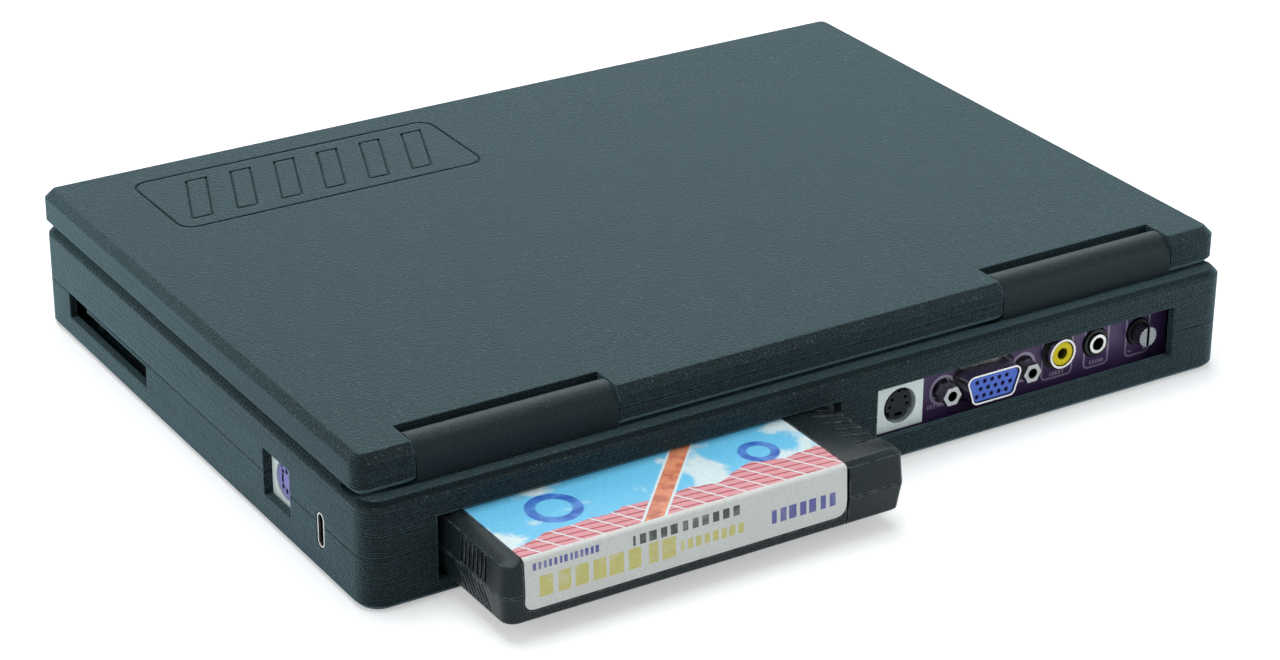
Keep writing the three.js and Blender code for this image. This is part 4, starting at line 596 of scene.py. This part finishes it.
# Dark glass with a blacker border round the picture area
glassLook = {
    "picture": rgb(16, 20, 26),
    "border": rgb(6, 7, 9),
    "area": (-105.5, 105.5, -76.8, 52.8),  # x, x, y, y
    "corner": 0.6,
    "grainScale": 300.0,
    "contrast": 0.1,
    "smears": (0.35, 0.7),
    "roughness": (0.08, 0.2),
    "gloss": 0.3,
}


def glassMaterial(look):
    material, tree, shader = newMaterial("screenGlass")
    x, y, _ = millimetres(tree)
    picture = barMask(tree, x, y, look["area"], look["corner"])
    color = blendColors(tree, picture, look["border"], look["picture"])
    grained = placeGroup(tree, grain, {"Color": color, "Grain Scale": look["grainScale"],
                                       "Contrast": look["contrast"]})
    tree.links.new(grained["Color"], shader.inputs["Base Color"])
    rough = remap(tree, grained["Patch"], *look["smears"], *look["roughness"])
    tree.links.new(rough, shader.inputs["Roughness"])
    shader.inputs["Specular IOR Level"].default_value = look["gloss"]
    return material


screenGlass = glassMaterial(glassLook)
bluePlastic = pinFieldMaterial(pinFieldLook, plainShared)

# Purple circuit board: the upright one carries printed outlines and marks
boardLook = {
    "color": rgb(78, 58, 104),
    "print": rgb(176, 164, 190),
    "ink": 0.85,
    "lineWidth": 0.45,
    "lineBlur": 0.08,
    "corner": 1.4,
    "topZ": 40.0,  # the outlines run up past the board's edge
    "frames": [(-80.3, -70.7, 6.3), (-92.0, -84.35, 6.2), (-105.4, -97.9, 6.2)],  # x, x, foot
    "studRing": 3.75,
    "studRingWidth": 0.35,
    # rows of small blocks: x, x, z, z, pitch, share filled, seed
    "marks": [(-40.2, -34.6, 7.4, 8.5, 0.95, 0.7, 2.0), (-77.7, -73.4, 6.95, 7.95, 1.0, 0.72, 4.0),
              (-90.6, -86.0, 6.95, 7.95, 0.95, 0.72, 6.0)],
    "minus": (-99.9, -98.7, 7.35, 7.7),
    "plusPlace": (-104.1, 7.5),
    "plusArm": 0.65,
    "plusHalf": 0.18,
    "minusCorner": 0.1,
    "plusCorner": 0.05,
    "grain": {"Grain Scale": 900.0, "Contrast": 0.12, "Cloud Scale": 60.0, "Cloudiness": 0.25},
    "roughness": (0.34, 0.46),
    "gloss": 0.4,
    "bump": 0.1,
}
blockLook = {
    "fill": (0.72, 1.08),  # of the share that a block fills
    "blur": 0.12,
    "corner": 0.2,
}


def blockRow(tree, x, z, left, right, low, high, pitch, share, seed):
    look = blockLook
    turns = calc(tree, "DIVIDE", calc(tree, "SUBTRACT", x, left), pitch)
    number = calc(tree, "ADD", calc(tree, "FLOOR", turns), seed)
    chance = addNode(tree, "TexWhiteNoise", {"W": number}, noise_dimensions="1D").outputs["Value"]
    filled = calc(tree, "MULTIPLY", share, remap(tree, chance, 0.0, 1.0, *look["fill"]))
    inside = calc(tree, "SUBTRACT", filled, calc(tree, "FRACT", turns))
    inBlock = remap(tree, inside, 0.0, look["blur"] / pitch)
    inRow = barMask(tree, x, z, (left, right, low, high), look["corner"])
    return calc(tree, "MULTIPLY", inRow, inBlock)


def boardPrint(tree, look, color):
    x, _, z = millimetres(tree)
    halfLine, blur = look["lineWidth"] / 2, look["lineBlur"]
    masks = []
    for left, right, foot in look["frames"]:
        distance = barMask(tree, x, z, (left, right, foot, look["topZ"]), look["corner"], "Distance")
        masks.append(remap(tree, calc(tree, "ABSOLUTE", distance), halfLine + blur, halfLine))
    masks += [blockRow(tree, x, z, *row) for row in look["marks"]]
    masks.append(barMask(tree, x, z, look["minus"], look["minusCorner"]))
    px, pz = look["plusPlace"]
    arm, half = look["plusArm"], look["plusHalf"]
    for dx, dz in ((arm, half), (half, arm)):
        masks.append(barMask(tree, x, z, (px - dx, px + dx, pz - dz, pz + dz), look["plusCorner"]))
    total = masks[0]
    for mask in masks[1:]:
        total = calc(tree, "MAXIMUM", total, mask)
    color = blendColors(tree, calc(tree, "MULTIPLY", total, look["ink"]), color, look["print"])
    for stud in ("monitor_stud_1", "monitor_stud_2"):
        low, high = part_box(stud)
        cx, cz = (low[0] + high[0]) / 2 / mm, (low[2] + high[2]) / 2 / mm
        away = calc(tree, "SUBTRACT", circleField(tree, x, z, cx, cz), look["studRing"])
        ring = remap(tree, calc(tree, "ABSOLUTE", away), look["studRingWidth"] + blur, look["studRingWidth"])
        color = blendColors(tree, ring, color, look["print"])
    return color


def boardMaterial(name, look, shared, printed):
    material, tree, shader = newMaterial(name)
    grained = placeGroup(tree, grain, {"Color": look["color"], **look["grain"]})
    color = boardPrint(tree, look, grained["Color"]) if printed else grained["Color"]
    tree.links.new(color, shader.inputs["Base Color"])
    patchyRoughness(tree, shader, grained["Patch"], *look["roughness"])
    shader.inputs["Specular IOR Level"].default_value = look["gloss"]
    bumped(tree, shader, grained["Height"], look["bump"], shared["bumpDistance"])
    return material


boardPrinted = boardMaterial("purpleBoardPrinted", boardLook, plainShared, True)
boardPlain = boardMaterial("purpleBoard", boardLook, plainShared, False)
print("board materials built")

# Cartridge label: clouds, tiled ground along the fold, a band, two rings and rows of plain blocks
labelLook = {
    "sky": rgb(112, 204, 244),
    "cloud": rgb(220, 240, 244),
    "deep": rgb(44, 98, 190),
    "deepLight": rgb(92, 150, 222),
    "pink": rgb(222, 150, 158),
    "red": rgb(182, 78, 88),
    "orange": rgb(232, 150, 112),
    "orangeDark": rgb(196, 108, 84),
    "paper": rgb(222, 225, 222),
    "yellow": rgb(212, 206, 120),
    "blue": rgb(84, 88, 164),
    "dark": rgb(52, 60, 62),
    "wornAndHighlight": rgb(226, 224, 216),
    "puff": {"Scale": 55.0, "Detail": 6.0, "Distortion": 0.5},
    "streak": {"Scale": 240.0, "Detail": 4.0},
    "cloudRange": (0.5, 0.56),
    "foldY": 117.4,  # the print on top ends here and the plain spine begins
    "foldBlur": 0.2,
    "groundY": 109.5,  # the pink ground lies between this line and the fold
    "groundX": 58.0,
    "groundLean": 0.07,
    "groundWander": 14.0,
    "groundBlur": 0.3,
    "courses": (0.25, 2.7),  # how fast the red courses turn along x and y
    "courseRange": (0.55, 0.8),
    "joints": (1.15, 0.6),  # how fast the pale joints turn along x, and their lean
    "jointRange": (0.93, 0.98),
    "bandX": 53.0,
    "bandY": 104.0,
    "bandLean": 0.9,
    "bandWidth": 2.8,
    "bandBorder": 0.8,
    "bandBlur": 0.2,
    "bandRange": (0.45, 0.6),
    "rings": [(82.0, 101.5, 7.0, 4.4), (27.0, 102.5, 5.2, 3.0)],  # x, y, outer and inner radius
    "ringBlur": 0.3,
    "ringRange": (0.4, 0.62),
    "thinRange": (0.3, 0.5, 0.65, 0.95),  # noise low and high, ink low and high
    "grain": {"Grain Scale": 1400.0, "Contrast": 0.08, "Cloud Scale": 90.0, "Cloudiness": 0.1},
    "edge": 0.0004,
    "wearAndHighlight": 0.7,
    "roughness": (0.3, 0.42),
    "gloss": 0.35,
    "bump": 0.05,
    # rows of blocks on the spine: x, x, z, z, pitch, share filled, seed, colour
    "rows": [
        (60.4, 96.8, 10.2, 15.4, 4.6, 0.8, 3.0, "yellow"),
        (42.0, 59.0, 11.2, 13.7, 2.3, 0.72, 5.0, "yellow"),
        (43.0, 71.6, 16.0, 18.4, 2.8, 0.7, 7.0, "dark"),
        (16.4, 34.2, 11.0, 14.4, 2.75, 0.74, 11.0, "blue"),
        (80.6, 97.6, 17.2, 18.9, 1.35, 0.7, 13.0, "blue"),
    ],
}


def labelTop(tree, look, x, y, streak):
    place = framePlace(tree)
    puff = addNode(tree, "TexNoise", {"Vector": place, **look["puff"]}).outputs[0]
    art = blendColors(tree, remap(tree, puff, *look["cloudRange"]), look["sky"], look["cloud"])

    # ground along the fold: pink with red courses and pale joints
    lean = calc(tree, "MULTIPLY", calc(tree, "SUBTRACT", x, look["groundX"]), look["groundLean"])
    wander = calc(tree, "MULTIPLY", calc(tree, "SUBTRACT", puff, 0.5), look["groundWander"])
    edge = calc(tree, "ADD", calc(tree, "ADD", look["groundY"], lean), wander)
    near = remap(tree, calc(tree, "SUBTRACT", y, edge), 0.0, look["groundBlur"])
    turnX, turnY = look["courses"]
    course = calc(tree, "ADD", calc(tree, "MULTIPLY", y, turnY), calc(tree, "MULTIPLY", x, turnX))
    inCourse = remap(tree, calc(tree, "SINE", course), *look["courseRange"])
    ground = blendColors(tree, inCourse, look["pink"], look["red"])
    turn, slant = look["joints"]
    joint = calc(tree, "MULTIPLY", calc(tree, "ADD", x, calc(tree, "MULTIPLY", y, slant)), turn)
    inJoint = remap(tree, calc(tree, "SINE", joint), *look["jointRange"])
    ground = blendColors(tree, inJoint, ground, look["cloud"])
    art = blendColors(tree, near, art, ground)

    # leaning band with a pale border
    band = blendColors(tree, remap(tree, streak, *look["bandRange"]), look["orange"], look["orangeDark"])
    lean = calc(tree, "MULTIPLY", calc(tree, "SUBTRACT", y, look["bandY"]), look["bandLean"])
    middle = calc(tree, "ADD", lean, look["bandX"])
    away = calc(tree, "ABSOLUTE", calc(tree, "SUBTRACT", x, middle))
    border = look["bandWidth"] + look["bandBorder"]
    for reach, color in ((border, look["cloud"]), (look["bandWidth"], band)):
        art = blendColors(tree, remap(tree, away, reach, reach - look["bandBlur"]), art, color)

    # rings
    shade = blendColors(tree, remap(tree, streak, *look["ringRange"]), look["deep"], look["deepLight"])
    for cx, cy, outer, inner in look["rings"]:
        away = circleField(tree, x, y, cx, cy)
        inOuter = remap(tree, away, outer, outer - look["ringBlur"])
        offInner = remap(tree, away, inner - look["ringBlur"], inner)
        art = blendColors(tree, calc(tree, "MULTIPLY", inOuter, offInner), art, shade)
    return art


def labelSpine(tree, look, x, z, streak):
    spine = look["paper"]
    thin = remap(tree, streak, *look["thinRange"])
    for *row, color in look["rows"]:
        mask = calc(tree, "MULTIPLY", blockRow(tree, x, z, *row), thin)
        spine = blendColors(tree, mask, spine, look[color])
    return spine


def labelMaterial(look, shared):
    material, tree, shader = newMaterial("labelPrint")
    x, y, z = millimetres(tree)
    place = framePlace(tree)
    streak = addNode(tree, "TexNoise", {"Vector": place, **look["streak"]}).outputs[0]
    onSpine = remap(tree, y, look["foldY"], look["foldY"] + look["foldBlur"])
    top, spine = labelTop(tree, look, x, y, streak), labelSpine(tree, look, x, z, streak)
    printed = blendColors(tree, onSpine, top, spine)
    grained = placeGroup(tree, grain, {"Color": printed, **look["grain"]})
    wornAndHighlight = placeGroup(tree, wearAndHighlight, {"Color": grained["Color"], "Wear And Highlight Color": look["wornAndHighlight"],
                                   "Width": look["edge"], "Amount": look["wearAndHighlight"]})
    tree.links.new(wornAndHighlight["Color"], shader.inputs["Base Color"])
    patchyRoughness(tree, shader, grained["Patch"], *look["roughness"])
    shader.inputs["Specular IOR Level"].default_value = look["gloss"]
    bumped(tree, shader, grained["Height"], look["bump"], shared["bumpDistance"])
    return material


labelPrint = labelMaterial(labelLook, plainShared)
print("label material built")

# Which finish each solid gets
finishes = {
    "lower_case": casing, "upper_case": casing, "lid_cover": casing, "lid_bezel": casing,
    "hinge_cover_right": barrelPlastic, "hinge_cover_left": barrelPlastic, "power_button": casing,
    "cartridge_top": cartridgePlastic, "cartridge_bottom": cartridgePlastic,
    "main_board": boardPlain, "cartridge_board": boardPlain, "io_panel": boardPrinted,
    "video_socket_housing": plain["whitePlastic"], "side_socket_housing": plain["whitePlastic"],
    "video_socket_insert": plain["insertPlastic"], "side_socket_insert": plain["purplePlastic"],
    "monitor_shell": plain["brightMetal"], "monitor_insert": bluePlastic,
    "monitor_stud_1": plain["steel"], "monitor_stud_2": plain["steel"],
    "composite_body": plain["blackPlastic"], "composite_ring": plain["brightMetal"],
    "composite_insert": plain["yellowPlastic"], "audio_body": plain["blackPlastic"],
    "audio_ring": plain["brightMetal"], "volume_body": plain["blackPlastic"],
    "volume_shaft": plain["darkSteel"], "port_shell": plain["brightMetal"],
    "port_tongue": plain["blackPlastic"], "card_socket": plain["blackPlastic"],
    "cartridge_socket": plain["blackPlastic"], "battery_pack": plain["batteryWrap"],
    "speaker": plain["blackPlastic"], "screen_glass": screenGlass, "screen_panel": plain["steel"],
    "cartridge_label": labelPrint,
}
for name, node in nodes.items():
    finish = finishes.get(name)
    if finish is None:
        finish = plain["steel"] if name.startswith("hinge_") else keycapPlastic
    node.data.materials.clear()
    node.data.materials.append(finish)
print("finishes given")

# Small pieces: flat plates with holes, and turned profiles, closed solids in millimetres
def upward(u, v, w):
    return Vector((u, v, w)) * mm


def sideways(u, v, w):
    return Vector((w, u, v)) * mm


def circle(cu, cv, radius, count=32):
    angles = [i * math.tau / count for i in range(count)]
    return [(cu + radius * math.cos(angle), cv + radius * math.sin(angle)) for angle in angles]


def turnedPoint(u, v, cu, cv, angle):
    c, s = math.cos(angle), math.sin(angle)
    return cu + u * c - v * s, cv + u * s + v * c


def addPlate(mesh, loops, low, high, where):
    points = [point for loop in loops for point in loop]
    floors = [[mesh.verts.new(where(u, v, w)) for u, v in points] for w in (low, high)]
    for corners in tessellate_polygon([[Vector((u, v, 0)) for u, v in loop] for loop in loops]):
        for floor in floors:
            mesh.faces.new([floor[i] for i in corners])
    start = 0
    for loop in loops:
        around = [(start + i, start + (i + 1) % len(loop)) for i in range(len(loop))]
        for i, j in around:
            mesh.faces.new((floors[0][i], floors[0][j], floors[1][j], floors[1][i]))
        start += len(loop)


def addTurned(mesh, profile, cu, cv, where, count=32):
    rings = []
    for w, radius in profile:
        points = circle(cu, cv, radius, count) if radius else [(cu, cv)]
        rings.append([mesh.verts.new(where(u, v, w)) for u, v in points])
    for a, b in zip(rings, rings[1:]):
        for i in range(count):
            j = (i + 1) % count
            corners = dict.fromkeys((a[i % len(a)], a[j % len(a)], b[j % len(b)], b[i % len(b)]))
            mesh.faces.new(list(corners))


def addPiece(name, mesh, material, body):
    bmesh.ops.recalc_face_normals(mesh, faces=mesh.faces)
    data = bpy.data.meshes.new(name)
    mesh.to_mesh(data)
    mesh.free()
    data.materials.append(material)
    piece = bpy.data.objects.new(name, data)
    bpy.context.scene.collection.objects.link(piece)
    piece.modifiers.new("roundedShading", "NODES").node_group = roundedShading
    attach(piece, body)
    return piece


# Lilac face of the side socket: a plate with open pin holes, nearly flush with the white housing
sideSocketFace = {
    "node": "side_socket_insert",
    "centre": (46.7, 13.2),
    "faceX": 122.45,
    "radius": 4.25,
    "rimNotches": (-146, -34, 90),  # degrees from straight up
    "notchHalf": 9.0,
    "notchRadius": 3.5,
    "thick": 3.0,
    "footRadius": 4.6,
    "footGap": 0.02,
    "backX": 116.6,
    "pins": (-140, -40, 5, 50, 130, 175),
    "pinRing": 2.6,
    "pinRadius": 0.68,
    "key": (1.0, 2.2, -1.9),  # width, height, place
    "rimStep": 3,  # degrees
    "pinSides": 20,
    "footSides": 48,
}


def addSideSocket(look):
    cu, cv = look["centre"]
    rim = []
    for degrees in range(-180, 180, look["rimStep"]):
        offs = [abs((degrees - notch + 180) % 360 - 180) for notch in look["rimNotches"]]
        reach = look["notchRadius"] if min(offs) < look["notchHalf"] else look["radius"]
        angle = math.radians(degrees)
        rim.append((cu + reach * math.sin(angle), cv + reach * math.cos(angle)))
    loops = [rim]
    for degrees in look["pins"]:
        angle = math.radians(degrees)
        pu, pv = cu + look["pinRing"] * math.sin(angle), cv + look["pinRing"] * math.cos(angle)
        loops.append(circle(pu, pv, look["pinRadius"], look["pinSides"]))
    width, height, side = look["key"]
    left, right = cu + side - width / 2, cu + side + width / 2
    low, high = cv - height / 2, cv + height / 2
    loops.append([(left, low), (right, low), (right, high), (left, high)])
    mesh = bmesh.new()
    behind = look["faceX"] - look["thick"]
    addPlate(mesh, loops, behind, look["faceX"], sideways)
    back, foot, front = look["backX"], look["footRadius"], behind - look["footGap"]
    addTurned(mesh, [(back, 0), (back, foot), (front, foot), (front, 0)], cu, cv, sideways, look["footSides"])
    piece = addPiece("sideSocketFace", mesh, plain["purplePlastic"], "base")
    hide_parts(look["node"])


addSideSocket(sideSocketFace)

# Case screws in their countersinks, seen from below
caseScrews = {
    "places": ((115, 81.75), (-115, 81.75), (115, -81.75), (-115, -81.75), (0, -81.75), (-9.55, 70)),
    # height and radius round the head and down the shank
    "head": ((0.85, 0), (0.85, 1.5), (0.2, 1.5), (0.35, 2.0), (0.7, 2.3), (1.35, 2.35), (1.35, 1.1),
             (7.0, 1.1), (7.2, 0)),
    "crossRadius": 1.49,
    "crossFace": 0.2,
    "crossFloor": 0.8,
    "arm": 1.15,
    "armHalf": 0.24,
    "turn": (17, 53),  # degrees of all the crosses, and more for each screw
}


def addScrews(look):
    a, h = look["arm"], look["armHalf"]
    arms = [[(h, h), (h, a), (-h, a)], [(-h, h), (-a, h), (-a, -h)], [(-h, -h), (-h, -a), (h, -a)],
            [(h, -h), (a, -h), (a, h)]]
    firstTurn, nextTurn = look["turn"]
    for number, (cu, cv) in enumerate(look["places"], 1):
        angle = math.radians(firstTurn + nextTurn * number)
        cross = [turnedPoint(u, v, cu, cv, angle) for arm in arms for u, v in arm]
        around = circle(cu, cv, look["crossRadius"])
        mesh = bmesh.new()
        addPlate(mesh, [around, cross], look["crossFace"], look["crossFloor"], upward)
        addTurned(mesh, look["head"], cu, cv, upward)
        addPiece(f"caseScrew{number}", mesh, plain["darkSteel"], "base")


addScrews(caseScrews)

# Printed marks on the keys: digits and plain arrows
keyMarks = {
    "floorZ": 26.55,  # bottom of the caps' dish
    "thick": 0.02,
    "digitSize": 5.2,
    "digits": "1234567890",
    "firstDigit": (-91.2, 40.8),
    "pitch": 15.2,
    "curveSteps": 4,
    "weld": 0.001,
    "arrowHead": (1.25, 1.7),  # half width, length
    "arrowHalf": 0.3,
    # name: body, place, degrees from pointing right, length
    "arrows": {
        "arrowUpMark": ("arrow_up_key", (106.4, -4.8), 90, 4.2),
        "arrowDownMark": ("arrow_down_key", (91.2, -20), 270, 4.2),
        "arrowLeftMark": ("arrow_left_key", (76, -20), 180, 4.2),
        "arrowRightMark": ("arrow_right_key", (106.4, -20), 0, 4.2),
        "eraseMark": ("backspace_key", (106.4, 40.8), 180, 6),
        "enterMark": ("enter_key", (96.9, 10.4), 180, 7),
        "tabMark": ("tab_key", (-102.6, 25.6), 0, 6),
        "leftShiftMark": ("left_shift_key", (-96.9, -4.8), 90, 5),
        "rightShiftMark": ("right_shift_key", (85.5, -4.8), 90, 5),
    },
}


def addDigits(look):
    startU, startV = look["firstDigit"]
    mesh = bmesh.new()
    for place, digit in enumerate(look["digits"]):
        text = bpy.data.curves.new("digit", "FONT")
        text.body = digit
        text.size = look["digitSize"] * mm
        text.align_x, text.align_y = "CENTER", "CENTER"
        text.extrude = look["thick"] * mm
        text.resolution_u = look["curveSteps"]
        holder = bpy.data.objects.new("digit", text)
        shape = bpy.data.meshes.new_from_object(holder)
        shape.transform(Matrix.Translation(upward(startU + place * look["pitch"], startV, look["floorZ"])))
        mesh.from_mesh(shape)
        bpy.data.objects.remove(holder)
    bmesh.ops.remove_doubles(mesh, verts=mesh.verts, dist=look["weld"] * mm)
    addPiece("keyDigits", mesh, plain["keyPrint"], "base")


def addArrows(look):
    low, high = look["floorZ"] - look["thick"], look["floorZ"] + look["thick"]
    half = look["arrowHalf"]
    wide, deep = look["arrowHead"]
    for name, (body, (cu, cv), degrees, length) in look["arrows"].items():
        angle = math.radians(degrees)
        tip = length / 2
        neck = tip - deep
        outline = [(-tip, -half), (neck, -half), (neck, -wide), (tip, 0), (neck, wide), (neck, half),
                   (-tip, half)]
        mesh = bmesh.new()
        addPlate(mesh, [outline], low, high, lambda u, v, w: upward(*turnedPoint(u, v, cu, cv, angle), w))
        addPiece(name, mesh, plain["keyPrint"], body)


addDigits(keyMarks)
addArrows(keyMarks)
print("own pieces made")

# Floor, lamps and the white surroundings
studio = {
    "floorSize": 12.0,
    "floorZ": -0.0002,  # just clear of the case's underside
    "floorColor": rgb(243, 245, 246),
    "floorLift": 0.42,  # what the eye sees on top of the floor's own light
    "floorRoughness": 0.9,
    "floorGloss": 0.1,
    "worldColor": (0.93, 0.97, 1.0, 1),
    "worldStrength": 0.3,
    "lamps": {
        # name: place, size, watts
        "topLamp": ((0.1, -0.3, 1.5), 1.2, 14.5),
        "backLamp": ((-0.75, -1.25, 1.0), 1.3, 6),
        "sideLamp": ((1.3, 0.0, 0.6), 1.0, 3.7),
        "rearLamp": ((-0.65, 0.6, 0.3), 0.5, 1.3),
    },
}


def seenByEye(tree):
    path = addNode(tree, "LightPath").outputs
    first = calc(tree, "MAXIMUM", path["Is Camera Ray"], path["Is Glossy Ray"])
    return calc(tree, "MAXIMUM", first, path["Is Transmission Ray"])


def addWorld(setup):
    world = bpy.data.worlds.new("paleRoom")
    world.use_nodes = True
    bpy.context.scene.world = world
    tree = world.node_tree
    tree.nodes.clear()
    lighting = addNode(tree, "Background", {"Color": setup["worldColor"], "Strength": setup["worldStrength"]})
    white = addNode(tree, "Background", {"Color": (1, 1, 1, 1), "Strength": 1.0})
    mix = addNode(tree, "MixShader", {0: seenByEye(tree), 1: lighting.outputs[0], 2: white.outputs[0]})
    addNode(tree, "OutputWorld", {"Surface": mix.outputs[0]})


def addFloor(setup):
    half, low = setup["floorSize"] / 2, setup["floorZ"]
    mesh = bpy.data.meshes.new("floor")
    corners = [(-half, -half, low), (half, -half, low), (half, half, low), (-half, half, low)]
    mesh.from_pydata(corners, [], [(0, 1, 2, 3)])
    floor = bpy.data.objects.new("floor", mesh)
    bpy.context.scene.collection.objects.link(floor)
    material, tree, shader = newMaterial("paleFloor")
    shader.inputs["Base Color"].default_value = setup["floorColor"]
    shader.inputs["Emission Color"].default_value = (1, 1, 1, 1)
    lift = calc(tree, "MULTIPLY", seenByEye(tree), setup["floorLift"])
    tree.links.new(lift, shader.inputs["Emission Strength"])
    shader.inputs["Roughness"].default_value = setup["floorRoughness"]
    shader.inputs["Specular IOR Level"].default_value = setup["floorGloss"]
    clear = addNode(tree, "BsdfTransparent")
    behind = addNode(tree, "NewGeometry").outputs["Backfacing"]  # seen from below, the floor is clear
    mix = addNode(tree, "MixShader", {0: behind, 1: shader.outputs[0], 2: clear.outputs[0]})
    tree.links.new(mix.outputs[0], tree.nodes["Material Output"].inputs["Surface"])
    mesh.materials.append(material)


def addLamps(setup):
    for name, (place, size, watts) in setup["lamps"].items():
        lamp = bpy.data.lights.new(name, "AREA")
        lamp.shape = "DISK"
        lamp.size = size
        lamp.energy = watts
        holder = bpy.data.objects.new(name, lamp)
        holder.location = place
        holder.rotation_euler = (-Vector(place)).to_track_quat("-Z", "Y").to_euler()
        bpy.context.scene.collection.objects.link(holder)


addWorld(studio)
addFloor(studio)
addLamps(studio)
print("studio lit")

# Closing: bring the view layer up to date
bpy.context.view_layer.update()
